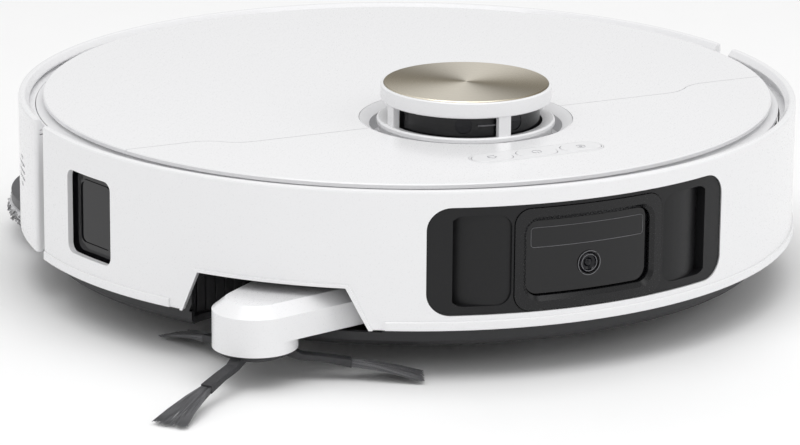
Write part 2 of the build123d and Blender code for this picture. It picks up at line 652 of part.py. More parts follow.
with BuildPart() as mid_deck:
    with BuildSketch(Plane.XY.offset(DECK_Z)):
        Circle(TRAY_R)
        add(front_notch.sketch, mode=Mode.SUBTRACT)
        with Locations((0, TURRET_Y)):
            Circle(GUIDE_R, mode=Mode.SUBTRACT)
        # bay for the dust box and the tank
        with Locations(((DUST_X0 + DUST_X1) / 2, (DUST_Y0 + DUST_Y1) / 2)):
            Rectangle(DUST_X1 - DUST_X0 + 2, DUST_Y1 - DUST_Y0 + 2, mode=Mode.SUBTRACT)
        add(tank_plans[1], mode=Mode.SUBTRACT)
    extrude(amount=DECK_T)
    # raised ring that carries the covers, with the sloped channel outside it
    with BuildSketch(Plane.XZ):
        Polygon(*CHANNEL_RING, align=None)
    revolve(axis=Axis.Z)
    # bevelled collar round the turret, and the guide tube under it
    with BuildSketch(Plane.XZ.offset(-TURRET_Y)):
        Polygon(*TURRET_COLLAR, align=None)
        Polygon(*TURRET_GUIDE, align=None)
    revolve(axis=Axis((0, TURRET_Y, 0), (0, 0, 1)))
    # flat at the back of the collar, so that the dust box lifts out past it
    with BuildSketch(Plane.XY.offset(DECK_Z)):
        with Locations((0, (COLLAR_BACK_Y + DUST_Y1) / 2)):
            Rectangle(2 * TURRET_BEVEL_R, DUST_Y1 - COLLAR_BACK_Y)
        with Locations((0, TURRET_Y)):
            Circle(TURRET_BEVEL_R + PART_GAP, mode=Mode.INTERSECT)
    extrude(amount=RIM_Z - DECK_Z, mode=Mode.SUBTRACT)
    # slot in the guide tube for the turret's rack
    with Locations((0, RACK_PITCH_Y, GUIDE_LOW)):
        Box(RACK_W + 3, 12, 2 * (DECK_Z - GUIDE_LOW), mode=Mode.SUBTRACT)
    # seats of the buttons and hanging posts of the board
    with BuildSketch(Plane.XY.offset(DECK_TOP)):
        with Locations(*[(x, BUTTON_Y) for x in BUTTON_X]):
            Circle(3)
    extrude(amount=BUTTON_STEM_LOW - BUTTON_TRAVEL - 0.1 - DECK_TOP)
    with BuildSketch(Plane.XY.offset(BOARD_Z + BOARD_T)):
        with Locations(*BOARD_POSTS):
            Circle(3)
    extrude(amount=DECK_Z - BOARD_Z - BOARD_T)
    # standing ribs that carry the covers between the ring and the collar
    with BuildSketch(Plane.XY.offset(DECK_TOP)):
        for x, y in COVER_PADS:
            with Locations((x, y)):
                Circle(3)
    extrude(amount=COVER_Z - PART_GAP - DECK_TOP)
save(mid_deck, "mid_deck")

# the seam between the two covers, as the region behind it
seam_regions = []
for shift in (-SEAM_GAP / 2, SEAM_GAP / 2):
    with BuildSketch() as region:
        with BuildLine():
            middle_x = (SEAM_IN_X + SEAM_OUT_X) / 2
            middle_y = (SEAM_Y + SEAM_BACK_Y) / 2 + shift
            back = SEAM_BACK_Y + shift
            front = SEAM_Y + shift
            Line((-SEAM_IN_X, front), (SEAM_IN_X, front))
            TangentArc((SEAM_IN_X, front), (middle_x, middle_y), tangent=(1, 0))
            TangentArc((SEAM_OUT_X, back), (middle_x, middle_y), tangent=(-1, 0))
            Polyline(
                (SEAM_OUT_X, back), (BODY_R, back), (BODY_R, BODY_R),
                (-BODY_R, BODY_R), (-BODY_R, back), (-SEAM_OUT_X, back),
            )
            TangentArc((-SEAM_OUT_X, back), (-middle_x, middle_y), tangent=(1, 0))
            TangentArc((-SEAM_IN_X, front), (-middle_x, middle_y), tangent=(-1, 0))
        make_face()
    seam_regions.append(region.sketch)

with BuildPart() as front_cover:
    with BuildSketch(Plane.XY.offset(COVER_Z)):
        Circle(COVER_R)
        add(seam_regions[0], mode=Mode.SUBTRACT)
        with Locations((0, TURRET_Y)):
            Circle(TURRET_BEVEL_R + 0.2, mode=Mode.SUBTRACT)
        with Locations((0, BUTTON_Y)):
            SlotOverall(BUTTON_STRIP_L + 0.4, BUTTON_STRIP_W + 0.4, mode=Mode.SUBTRACT)
    extrude(amount=COVER_T)
    rim_edges = front_cover.edges().filter_by(GeomType.CIRCLE).filter_by(lambda e: e.radius > COVER_R - 1)
    chamfer(rim_edges.group_by(Axis.Z)[-1], 0.5)
save(front_cover, "front_cover")

# the lid's hole round the collar, straight where the collar has its flat
with BuildSketch() as lid_hole:
    with Locations((0, TURRET_Y)):
        Circle(TURRET_BEVEL_R + 0.2)
    with Locations((0, COLLAR_BACK_Y + PART_GAP + BODY_R / 2)):
        Rectangle(BODY_R, BODY_R, mode=Mode.SUBTRACT)

with BuildPart() as rear_lid:
    with BuildSketch(Plane.XY.offset(COVER_Z)):
        Circle(COVER_R)
        add(seam_regions[1], mode=Mode.INTERSECT)
        add(lid_hole.sketch, mode=Mode.SUBTRACT)
    extrude(amount=COVER_T)
    rim_edges = rear_lid.edges().filter_by(GeomType.CIRCLE).filter_by(lambda e: e.radius > COVER_R - 1)
    chamfer(rim_edges.group_by(Axis.Z)[-1], 0.5)
save(rear_lid, "rear_lid")

# ================================================================ buttons
with BuildPart() as button_bezel:
    with BuildSketch(Plane.XY.offset(COVER_Z - 0.8)):
        with Locations((0, BUTTON_Y)):
            SlotOverall(BUTTON_STRIP_L, BUTTON_STRIP_W)
        with Locations(*[(x, BUTTON_Y) for x in BUTTON_X]):
            SlotOverall(BUTTON_L + 2 * PART_GAP, BUTTON_W + 2 * PART_GAP, mode=Mode.SUBTRACT)
    extrude(amount=COVER_T + 0.8)
save(button_bezel, "button_bezel")

for name, x in zip(BUTTON_NAMES, BUTTON_X):
    with BuildPart() as button:
        with BuildSketch(Plane.XY.offset(COVER_Z - 0.4)):
            with Locations((x, BUTTON_Y)):
                SlotOverall(BUTTON_L, BUTTON_W)
        extrude(amount=COVER_T + 0.4 + BUTTON_PROUD)
        chamfer(button.faces().sort_by(Axis.Z)[-1].edges(), 0.3)
        with BuildSketch(Plane.XY.offset(BUTTON_STEM_LOW)):
            with Locations((x, BUTTON_Y)):
                Circle(2)
        extrude(amount=COVER_Z - BUTTON_STEM_LOW)
    save(button, name)

# ================================================================ lidar turret
with BuildPart() as turret_cup:
    with BuildSketch(Plane.XZ.offset(-TURRET_Y)):
        Polygon(
            (0, CUP_LOW), (TURRET_DRUM_R, CUP_LOW), (TURRET_DRUM_R, WINDOW_SILL - 2.6),
            (TURRET_LIP_R, WINDOW_SILL - 2.1), (TURRET_LIP_R, WINDOW_SILL - 0.6),
            (TURRET_LIP_R - 0.8, WINDOW_SILL), (ROTOR_R + 1.2, WINDOW_SILL - 1.0),
            (ROTOR_R + 1.2, CUP_LOW + 2), (MOTOR_R, CUP_LOW + 2), (MOTOR_R, ROTOR_LOW - 1),
            (0, ROTOR_LOW - 1),
            align=None,
        )
    revolve(axis=Axis((0, TURRET_Y, 0), (0, 0, 1)))
    # four pillars up to the cap
    for quarter in range(4):
        start = 90 * quarter - PILLAR_ANGLE / 2
        x, y = polar(start, 1)
        pillar_plane = Plane(origin=(0, TURRET_Y, 0), x_dir=(x, y, 0), z_dir=(y, -x, 0))
        with BuildSketch(pillar_plane):
            Polygon(
                (ROTOR_R + 1.5, WINDOW_SILL - 2), (TURRET_CAP_R - 0.6, WINDOW_SILL - 2),
                (TURRET_CAP_R - 0.6, CAP_LOW), (ROTOR_R + 1.5, CAP_LOW),
                align=None,
            )
        revolve(axis=Axis((0, TURRET_Y, 0), (0, 0, 1)), revolution_arc=PILLAR_ANGLE)
    # bore of the rotor's shaft
    with Locations((0, TURRET_Y, ROTOR_LOW - 4)):
        Cylinder(ROTOR_SHAFT_R + RUN_GAP, 8, mode=Mode.SUBTRACT)
    # rack on the front of the cup
    with BuildSketch(Plane.YZ.offset(-RACK_W / 2)):
        with Locations(((RACK_ROOT_Y + RACK_BACK_Y) / 2, (RACK_LOW + RACK_HIGH) / 2)):
            Rectangle(RACK_BACK_Y - RACK_ROOT_Y, RACK_HIGH - RACK_LOW)
        for tooth in range(RACK_TEETH):
            z = PINION_Z + (tooth + 0.5 - RACK_TEETH_BELOW) * pi * RACK_MODULE
            with Locations((0, z)):
                Polygon(*RACK_TOOTH, align=None)
    extrude(amount=RACK_W)
save(turret_cup, "turret_cup")

with BuildPart() as turret_cap:
    with BuildSketch(Plane.XZ.offset(-TURRET_Y)):
        Polygon(
            (0, CAP_LOW), (TURRET_CAP_R - 0.5, CAP_LOW), (TURRET_CAP_R, CAP_LOW + 0.5),
            (TURRET_CAP_R, TURRET_TOP - 1.0), (TURRET_CAP_R - 0.5, TURRET_TOP - 0.5),
            (TURRET_DISC_R + 0.1, TURRET_TOP - 0.5), (TURRET_DISC_R + 0.1, TURRET_TOP - 1.2),
            (0, TURRET_TOP - 1.2),
            align=None,
        )
    revolve(axis=Axis((0, TURRET_Y, 0), (0, 0, 1)))
save(turret_cap, "turret_cap")

with BuildPart() as turret_disc:
    with BuildSketch(Plane.XY.offset(TURRET_TOP - 1.2)):
        with Locations((0, TURRET_Y)):
            Circle(TURRET_DISC_R)
    extrude(amount=1.2)
    chamfer(turret_disc.faces().sort_by(Axis.Z)[-1].edges(), 0.3)
save(turret_disc, "turret_disc")

with BuildPart() as lidar_rotor:
    with BuildSketch(Plane.XY.offset(ROTOR_LOW)):
        with Locations((0, TURRET_Y)):
            Circle(ROTOR_R)
    extrude(amount=CAP_LOW - MOVE_GAP - ROTOR_LOW)
    with BuildSketch(Plane.XY.offset(ROTOR_LOW - 3.5)):
        with Locations((0, TURRET_Y)):
            Circle(ROTOR_SHAFT_R)
    extrude(amount=4)
    # round seats of the two lenses
    for angle in LENS_ANGLES:
        x, y = polar(angle, ROTOR_R - 3)
        seat = Plane(origin=(x, TURRET_Y + y, ROTOR_LENS_Z), x_dir=(-y, x, 0), z_dir=(x, y, 0))
        with BuildSketch(seat):
            Circle(ROTOR_LENS_R + 0.1)
        extrude(amount=6, mode=Mode.SUBTRACT)
save(lidar_rotor, "lidar_rotor")

with BuildPart() as lidar_lenses:
    for angle in LENS_ANGLES:
        x, y = polar(angle, ROTOR_R - 3)
        seat = Plane(origin=(x, TURRET_Y + y, ROTOR_LENS_Z), x_dir=(-y, x, 0), z_dir=(x, y, 0))
        with BuildSketch(seat):
            Circle(ROTOR_LENS_R)
        extrude(amount=2.6)
save(lidar_lenses, "lidar_lenses")

with BuildPart() as lift_pinion:
    with BuildSketch(Plane.YZ.offset(-PINION_W / 2)):
        with Locations((PINION_Y, PINION_Z)):
            Polygon(*gear_points(PINION_TEETH, RACK_MODULE, RACK_BACKLASH), align=None)
            Circle(PINION_SHAFT_R + 0.02, mode=Mode.SUBTRACT)
    extrude(amount=PINION_W)
save(lift_pinion, "lift_pinion")

with BuildPart() as lift_motor:
    with BuildSketch(Plane.YZ.offset(-PINION_W / 2 - 2)):
        with Locations((PINION_Y, PINION_Z)):
            Circle(8)
    extrude(amount=-26)
    with BuildSketch(Plane.YZ.offset(-PINION_W / 2 - 2)):
        with Locations((PINION_Y, PINION_Z)):
            Circle(PINION_SHAFT_R - 0.03)
    extrude(amount=PINION_W + 4)
    # bracket up to the deck
    with Locations((-PINION_W / 2 - 15, PINION_Y, (PINION_Z + DECK_Z - PART_GAP) / 2)):
        Box(8, 6, DECK_Z - PART_GAP - PINION_Z)
save(lift_motor, "lift_motor")

# ================================================================ bumper
with BuildPart() as bezel_prism:
    with BuildSketch(Plane.XZ.offset(BODY_R - 50)):
        with Locations((0, (BEZEL_LOW + BEZEL_HIGH) / 2)):
            RectangleRounded(BEZEL_W, BEZEL_HIGH - BEZEL_LOW, BEZEL_CORNER)
    extrude(amount=60)

with BuildPart() as bumper_shell:
    with BuildSketch(radial_plane(-BUMPER_END)):
        Polygon(*skin_profile(), align=None)
        Polygon(*BUMPER_FLANGE, align=None)
    revolve(axis=Axis.Z, revolution_arc=2 * BUMPER_END)
    # raised strip along the lower edge, left out at the side brush
    for start, end in ((-BUMPER_END + 0.3, BAY_LEFT_LOW - 1.7), (BAY_RIGHT_LOW + 1.4, BUMPER_END - 0.3)):
        with BuildSketch(radial_plane(start)):
            Polygon(*STRIP_PROFILE, align=None)
        revolve(axis=Axis.Z, revolution_arc=end - start)
    # raised frame round the side brush opening
    add(bay_frame_prism.part)
    with BuildSketch(wall_plane(BAY_ANGLE, BODY_R - 30)):
        Polygon(*bay_outline(0), align=None)
    extrude(amount=50, mode=Mode.SUBTRACT)
    # front recess
    with BuildSketch(Plane.XZ.offset(BODY_R - 60)):
        with Locations((0, (BEZEL_LOW + BEZEL_HIGH) / 2)):
            RectangleRounded(
                BEZEL_W + 2 * PART_GAP, BEZEL_HIGH - BEZEL_LOW + 2 * PART_GAP, BEZEL_CORNER + PART_GAP
            )
    extrude(amount=80, mode=Mode.SUBTRACT)
    # side windows
    for side in (-1, 1):
        with BuildSketch(wall_plane(side * SIDE_ANGLE, BODY_R - 12)):
            with Locations((0, (SIDE_LOW + SIDE_HIGH) / 2)):
                RectangleRounded(SIDE_W, SIDE_HIGH - SIDE_LOW, SIDE_CORNER)
        extrude(amount=20, mode=Mode.SUBTRACT)
save(bumper_shell, "bumper_shell")

with BuildPart() as pocket_prism:
    with BuildSketch(Plane.XZ.offset(BODY_R - 50)):
        with Locations(((POCKET_X0 + POCKET_X1) / 2, (BEZEL_LOW + BEZEL_HIGH) / 2)):
            RectangleRounded(POCKET_X1 - POCKET_X0, POCKET_H, POCKET_CORNER)
    extrude(amount=60)
    # hollowed floor: deep at its outer side, rising to the window frame
    with BuildSketch(Plane.XY.offset(BEZEL_LOW)):
        with BuildLine():
            outer = polar(degrees(POCKET_X1 / BODY_R), BODY_R - BEZEL_DEPTH + 1.6)
            inner = polar(degrees(POCKET_X0 / BODY_R), BODY_R - 1.6)
            ThreePointArc(outer, (POCKET_MID_X, POCKET_MID_Y), inner)
            Polyline(inner, (POCKET_X0 - 4, -BODY_R - 4), (POCKET_X1 + 4, -BODY_R - 4), outer)
        make_face()
    extrude(amount=BEZEL_HIGH - BEZEL_LOW, mode=Mode.INTERSECT)

with BuildPart() as bumper_bezel:
    with BuildSketch(radial_plane(-BEZEL_SPAN)):
        with Locations((BODY_R - 0.6 - BEZEL_DEPTH / 2, (BEZEL_LOW + BEZEL_HIGH) / 2)):
            Rectangle(BEZEL_DEPTH, BEZEL_HIGH - BEZEL_LOW + 2)
    revolve(axis=Axis.Z, revolution_arc=2 * BEZEL_SPAN)
    add(bezel_prism.part, mode=Mode.INTERSECT)
    add(pocket_prism.part, mode=Mode.SUBTRACT)
    add(mirror(pocket_prism.part, about=Plane.YZ, mode=Mode.PRIVATE), mode=Mode.SUBTRACT)
    with BuildSketch(Plane.XZ.offset(BODY_R - 60)):
        with Locations((0, (WINDOW_LOW + WINDOW_HIGH) / 2)):
            RectangleRounded(
                WINDOW_W + 2 * PART_GAP, WINDOW_HIGH - WINDOW_LOW + 2 * PART_GAP, WINDOW_CORNER + PART_GAP
            )
    extrude(amount=80, mode=Mode.SUBTRACT)
save(bumper_bezel, "bumper_bezel")

with BuildPart() as window_frame:
    with BuildSketch(radial_plane(-BEZEL_SPAN)):
        with Locations((BODY_R - 0.2 - BEZEL_DEPTH / 2, (BEZEL_LOW + BEZEL_HIGH) / 2)):
            Rectangle(BEZEL_DEPTH, BEZEL_HIGH - BEZEL_LOW + 2)
    revolve(axis=Axis.Z, revolution_arc=2 * BEZEL_SPAN)
    with BuildSketch(Plane.XZ.offset(BODY_R - 60)):
        with Locations((0, (WINDOW_LOW + WINDOW_HIGH) / 2)):
            RectangleRounded(WINDOW_W, WINDOW_HIGH - WINDOW_LOW, WINDOW_CORNER)
    extrude(amount=80, mode=Mode.INTERSECT)
    with BuildSketch(Plane.XZ.offset(BODY_R - 60)):
        with Locations((0, (GLASS_LOW + GLASS_HIGH) / 2)):
            RectangleRounded(
                GLASS_W + 2 * MOVE_GAP, GLASS_HIGH - GLASS_LOW + 2 * MOVE_GAP, GLASS_CORNER + MOVE_GAP
            )
    extrude(amount=80, mode=Mode.SUBTRACT)
    # bevel of the opening
    inner_edges = window_frame.edges().filter_by(lambda e: e.center().Y < -BODY_R + 4)
    inner_edges = inner_edges.filter_by(lambda e: abs(e.center().X) < GLASS_W / 2 + 1.5)
    inner_edges = inner_edges.filter_by(
        lambda e: GLASS_LOW - 2 < e.center().Z < GLASS_HIGH + 2 and e.distance_to((0, -BODY_R, LENS_Z)) < 40
    )
    chamfer(inner_edges, 1.8)
save(window_frame, "window_frame")

with BuildPart() as side_windows:
    for side in (-1, 1):
        with BuildSketch(wall_plane(side * SIDE_ANGLE, SIDE_PANEL_R)):
            with Locations((0, (SIDE_LOW + SIDE_HIGH) / 2)):
                RectangleRounded(SIDE_W + 6, SIDE_HIGH - SIDE_LOW + 6, SIDE_CORNER + 3)
        extrude(amount=1.6)
        # raised glossy inner frame
        with BuildSketch(wall_plane(side * SIDE_ANGLE, SIDE_PANEL_R + 1.6)):
            with Locations((0, (SIDE_LOW + SIDE_HIGH) / 2)):
                RectangleRounded(SIDE_W - 8, SIDE_HIGH - SIDE_LOW - 8, SIDE_CORNER)
                RectangleRounded(SIDE_W - 10, SIDE_HIGH - SIDE_LOW - 10, SIDE_CORNER - 1, mode=Mode.SUBTRACT)
        extrude(amount=0.5)
save(side_windows, "side_windows")

# ================================================================ front sensor module
with BuildPart() as sensor_housing:
    with BuildSketch(Plane.XZ.offset(MODULE_BACK)):
        with Locations((0, (GLASS_LOW + GLASS_HIGH) / 2)):
            RectangleRounded(GLASS_W, GLASS_HIGH - GLASS_LOW, GLASS_CORNER)
    extrude(amount=BODY_R - MODULE_BACK)
    with BuildSketch(Plane.XY.offset(0)):
        Circle(GLASS_R - GLASS_T - 0.1)
    extrude(amount=RIM_Z, mode=Mode.INTERSECT)
    # barrel of the camera
    with BuildSketch(Plane.XZ.offset(BODY_R - 20)):
        with Locations((0, LENS_Z)):
            Circle(LENS_R + 0.2)
    extrude(amount=20, mode=Mode.SUBTRACT)
    # feet on the tray floor
    with BuildSketch(Plane.XY.offset(TRAY_FLOOR_TOP + 0.1)):
        with Locations((-GLASS_W / 2 + 4, -MODULE_BACK - 6), (GLASS_W / 2 - 4, -MODULE_BACK - 6)):
            Rectangle(6, 8)
    extrude(amount=GLASS_LOW - TRAY_FLOOR_TOP + 1)
save(sensor_housing, "sensor_housing")

with BuildPart() as sensor_glass:
    with BuildSketch(Plane.XZ.offset(MODULE_BACK)):
        with Locations((0, (GLASS_LOW + GLASS_HIGH) / 2)):
            RectangleRounded(GLASS_W, GLASS_HIGH - GLASS_LOW, GLASS_CORNER)
    extrude(amount=BODY_R - MODULE_BACK)
    with BuildSketch(Plane.XY.offset(0)):
        Circle(GLASS_R)
        Circle(GLASS_R - GLASS_T, mode=Mode.SUBTRACT)
    extrude(amount=RIM_Z, mode=Mode.INTERSECT)
    with BuildSketch(Plane.XZ.offset(BODY_R - 20)):
        with Locations((0, LENS_Z)):
            Circle(LENS_R + 0.2)
    extrude(amount=20, mode=Mode.SUBTRACT)
save(sensor_glass, "sensor_glass")

with BuildPart() as camera_lens:
    with BuildSketch(Plane.YZ):
        Polygon(*CAMERA_PROFILE, align=None)
    revolve(axis=Axis((0, 0, LENS_Z), (0, 1, 0)))
save(camera_lens, "camera_lens")

# ================================================================ side brush
with BuildPart() as side_brush_arm:
    with BuildSketch(Plane.XY.offset(ARM_LOW)):
        with Locations((BOSS_X, BOSS_Y)):
            Circle(BOSS_R)
        with Locations((ARM_PIVOT_X, ARM_PIVOT_Y)):
            Circle(ARM_PIVOT_R)
        with Locations((ARM_HEEL_X, ARM_HEEL_Y)):
            Circle(ARM_HEEL_R)
        make_hull()
    extrude(amount=ARM_CREASE - ARM_LOW)
    extrude(
        side_brush_arm.faces().sort_by(Axis.Z)[-1],
        amount=ARM_TOP - ARM_CREASE,
        taper=degrees(atan2(ARM_CHAMFER, ARM_TOP - ARM_CREASE)),
    )
    with BuildSketch(Plane.XY.offset(BOSS_LOW)):
        with Locations((BOSS_X, BOSS_Y)):
            Circle(BOSS_R)
    extrude(amount=ARM_LOW - BOSS_LOW)
    # pocket of the brush motor, open below
    with BuildSketch(Plane.XY.offset(BOSS_LOW)):
        with Locations((BOSS_X, BOSS_Y)):
            Circle(BRUSH_MOTOR_R + PART_GAP)
    extrude(amount=BRUSH_MOTOR_TOP + PART_GAP - BOSS_LOW, mode=Mode.SUBTRACT)
    with Locations((ARM_PIVOT_X, ARM_PIVOT_Y, ARM_TOP)):
        Cylinder(ARM_SHAFT_R + RUN_GAP, 40, mode=Mode.SUBTRACT)
save(side_brush_arm, "side_brush_arm")

with BuildPart() as side_brush_motor:
    with BuildSketch(Plane.XY.offset(BOSS_LOW + 0.8)):
        with Locations((BOSS_X, BOSS_Y)):
            Circle(BRUSH_MOTOR_R)
    extrude(amount=BRUSH_MOTOR_TOP - BOSS_LOW - 0.8)
    with BuildSketch(Plane.XY.offset(DISH_LOW + 1)):
        with Locations((BOSS_X, BOSS_Y)):
            Circle(BRUSH_SHAFT_R)
    extrude(amount=BOSS_LOW - DISH_LOW)
save(side_brush_motor, "side_brush_motor")

with BuildPart() as side_brush_hub:
    with BuildSketch(Plane.XZ.offset(-BOSS_Y)):
        with Locations((BOSS_X, 0)):
            Polygon(
                (0, DISH_LOW), (DISH_R - 3.5, DISH_LOW), (DISH_R, DISH_LOW + 1.6),
                (DISH_R, BOSS_LOW - 0.4), (0, BOSS_LOW - 0.4),
                align=None,
            )
    revolve(axis=Axis((BOSS_X, BOSS_Y, 0), (0, 0, 1)))
    for arm in range(3):
        turn = BRUSH_PHASE + 120 * arm
        x, y = cos(radians(turn)), sin(radians(turn))
        arm_plane = Plane(origin=(BOSS_X, BOSS_Y, 0), x_dir=(x, y, 0), z_dir=(y, -x, 0))
        with BuildSketch(arm_plane):
            Polygon(*BRUSH_ARM_PROFILE, align=None)
        extrude(amount=BRUSH_ARM_W / 2, both=True)
    with Locations((BOSS_X, BOSS_Y, BOSS_LOW)):
        Cylinder(BRUSH_SHAFT_R + RUN_GAP, 2 * (BOSS_LOW - DISH_LOW - 1), mode=Mode.SUBTRACT)
save(side_brush_hub, "side_brush_hub")

with BuildPart() as side_brush_bristles:
    # side profile turned about the brush's axis, then cut to three flaring tufts
    with BuildSketch(Plane.XZ.offset(-BOSS_Y)):
        with Locations((BOSS_X, 0)):
            Polygon(
                (BRUSH_ROOT, 5.4), (BRUSH_REACH + 1, 0.4), (BRUSH_REACH + 1, 0.9), (BRUSH_ROOT, 8.4),
                align=None,
            )
    revolve(axis=Axis((BOSS_X, BOSS_Y, 0), (0, 0, 1)))
    with BuildSketch():
        with Locations(*[
            Location((BOSS_X, BOSS_Y, 0), (0, 0, BRUSH_PHASE + 120 * tuft)) for tuft in range(3)
        ]):
            Polygon(
                (BRUSH_ROOT + 0.3, -2.4), (BRUSH_REACH, -8.0), (BRUSH_REACH, 8.0), (BRUSH_ROOT + 0.3, 2.4),
                align=None,
            )
    extrude(amount=UNDERSIDE, mode=Mode.INTERSECT)
save(side_brush_bristles, "side_brush_bristles")

with BuildPart() as arm_motor:
    with BuildSketch(Plane.XY.offset(BAY_CEILING_TOP + PART_GAP)):
        with Locations((ARM_PIVOT_X, ARM_PIVOT_Y)):
            Circle(12)
    extrude(amount=22)
    with BuildSketch(Plane.XY.offset(TRAY_FLOOR_TOP + PART_GAP)):
        with Locations((ARM_PIVOT_X, ARM_PIVOT_Y)):
            Circle(ARM_SHAFT_R)
    extrude(amount=BAY_CEILING_TOP - TRAY_FLOOR_TOP)
save(arm_motor, "arm_motor")

with BuildPart() as bay_liner:
    # ceiling over the arm
    with BuildSketch(Plane.XY.offset(BAY_CEILING_TOP - 2)):
        Polygon(*BAY_PLAN, align=None)
        Circle(TRAY_R - TRAY_WALL - PART_GAP, mode=Mode.INTERSECT)
        with Locations((ARM_PIVOT_X, ARM_PIVOT_Y)):
            Circle(ARM_SHAFT_R + 1, mode=Mode.SUBTRACT)
    extrude(amount=2)
    # ribbed walls behind the arm
    with BuildSketch(Plane.XY.offset(TRAY_FLOOR_TOP)):
        with BuildLine():
            Polyline(*BAY_WALL)
        trace(line_width=1.8)
    extrude(amount=BAY_CEILING_TOP - TRAY_FLOOR_TOP - 1)
    rib_from, rib_to = Vector(*BAY_WALL[-2]), Vector(*BAY_WALL[-1])
    for rib in range(7):
        spot = rib_from + (rib_to - rib_from) * ((rib + 0.5) / 7)
        with Locations((spot.X, spot.Y - 1.4, (BAY_CEILING_TOP + TRAY_FLOOR_TOP) / 2)):
            Box(1.2, 2.0, BAY_CEILING_TOP - TRAY_FLOOR_TOP - 1)
save(bay_liner, "bay_liner")

# ================================================================ main rollers
for name, y, side in (("front_roller", ROLLER_FRONT_Y, 0), ("rear_roller", ROLLER_REAR_Y, 1)):
    with BuildPart() as roller:
        with BuildSketch(Plane.YZ.offset(-ROLLER_HALF)):
            with Locations((y, ROLLER_Z)):
                Circle(ROLLER_CORE_R)
        extrude(amount=2 * ROLLER_HALF)
        with BuildSketch(Plane.YZ.offset(HOUSING_X0 + 0.5)):
            with Locations((y, ROLLER_Z)):
                Circle(ROLLER_SHAFT_R)
        extrude(amount=HOUSING_X1 - HOUSING_X0 - 1)
        with BuildSketch(Plane.YZ.offset(GEAR_X)):
            with Locations((y, ROLLER_Z)):
                Polygon(*gear_points(GEAR_TEETH, GEAR_MODULE, GEAR_BACKLASH), align=None)
        extrude(amount=GEAR_W)
    save(roller, name)

    with BuildPart() as fins:
        with BuildSketch(Plane.YZ.offset(-ROLLER_HALF + 0.5)):
            with Locations((y, ROLLER_Z)):
                Circle(ROLLER_CORE_R + 1.6)
                with PolarLocations((ROLLER_R + ROLLER_CORE_R) / 2, ROLLER_FINS, start_angle=15 * side):
                    Rectangle(ROLLER_R - ROLLER_CORE_R, 1.8)
                Circle(ROLLER_CORE_R + 0.02, mode=Mode.SUBTRACT)
        extrude(amount=2 * ROLLER_HALF - 1)
    save(fins, name + "_fins")

with BuildPart() as brush_housing:
    with BuildSketch(Plane.XY.offset(UNDERSIDE - 1.5)):
        with Locations(((HOUSING_X0 + HOUSING_X1) / 2, (HOUSING_Y0 + HOUSING_Y1) / 2)):
            Rectangle(HOUSING_X1 - HOUSING_X0, HOUSING_Y1 - HOUSING_Y0)
    extrude(amount=HOUSING_TOP - UNDERSIDE + 1.5)
    # flange that rests on the tray floor
    with BuildSketch(Plane.XY.offset(TRAY_FLOOR_TOP + 0.1)):
        with Locations(((HOUSING_X0 + HOUSING_X1) / 2, (HOUSING_Y0 + HOUSING_Y1) / 2)):
            Rectangle(HOUSING_X1 - HOUSING_X0, HOUSING_Y1 - HOUSING_Y0 + 4)
    extrude(amount=2)
    for y in (ROLLER_FRONT_Y, ROLLER_REAR_Y):
        # tunnel of the roller, open below
        with BuildSketch(Plane.YZ.offset(-ROLLER_HALF - 1)):
            with Locations((y, ROLLER_Z)):
                Circle(TUNNEL_R)
            with Locations((y, ROLLER_Z / 2)):
                Rectangle(2 * TUNNEL_R, ROLLER_Z)
        extrude(amount=2 * ROLLER_HALF + 2, mode=Mode.SUBTRACT)
        # pocket of the gear
        with BuildSketch(Plane.YZ.offset(GEAR_X - 0.5)):
            with Locations((y, ROLLER_Z)):
                Circle(ROLLER_PITCH / 2 + GEAR_MODULE)
        extrude(amount=GEAR_W + 1, mode=Mode.SUBTRACT)
        # bearings of the shaft
        with BuildSketch(Plane.YZ.offset(HOUSING_X0 - 1)):
            with Locations((y, ROLLER_Z)):
                Circle(ROLLER_SHAFT_R + RUN_GAP)
        extrude(amount=HOUSING_X1 - HOUSING_X0 + 2, mode=Mode.SUBTRACT)
    # the low ridge between the tunnels, and the throat up to the dust box
    with Locations((0, (ROLLER_FRONT_Y + ROLLER_REAR_Y) / 2, UNDERSIDE)):
        Box(2 * ROLLER_HALF + 2, 10, 30, mode=Mode.SUBTRACT)
    with BuildSketch(Plane.XY.offset(ROLLER_Z + 6)):
        with Locations((0, (THROAT_Y0 + THROAT_Y1) / 2)):
            Rectangle(THROAT_W, THROAT_Y1 - THROAT_Y0)
    extrude(amount=HOUSING_TOP - ROLLER_Z, mode=Mode.SUBTRACT)
    # duct up to the underside of the dust box
    with BuildSketch(Plane.XY.offset(HOUSING_TOP - 0.5)):
        with Locations((0, (THROAT_Y0 + THROAT_Y1) / 2)):
            Rectangle(THROAT_W + 3, THROAT_Y1 - THROAT_Y0 + 3)
            Rectangle(THROAT_W, THROAT_Y1 - THROAT_Y0, mode=Mode.SUBTRACT)
    extrude(amount=DUST_Z0 - PART_GAP - HOUSING_TOP + 0.5)
save(brush_housing, "brush_housing")

with BuildPart() as brush_motor:
    with BuildSketch(Plane.YZ.offset(MOTOR_X0)):
        with Locations((MOTOR_Y, MOTOR_Z)):
            Circle(11)
    extrude(amount=HOUSING_X1 - 10 - MOTOR_X0)
    # gearcase down to the roller housing
    with BuildSketch(Plane.YZ.offset(HOUSING_X1 - 11)):
        with Locations((MOTOR_Y, MOTOR_Z)):
            Circle(12)
        with Locations((MOTOR_Y, (HOUSING_TOP + PART_GAP + MOTOR_Z) / 2)):
            Rectangle(24, MOTOR_Z - HOUSING_TOP - PART_GAP)
    extrude(amount=10)
save(brush_motor, "brush_motor")

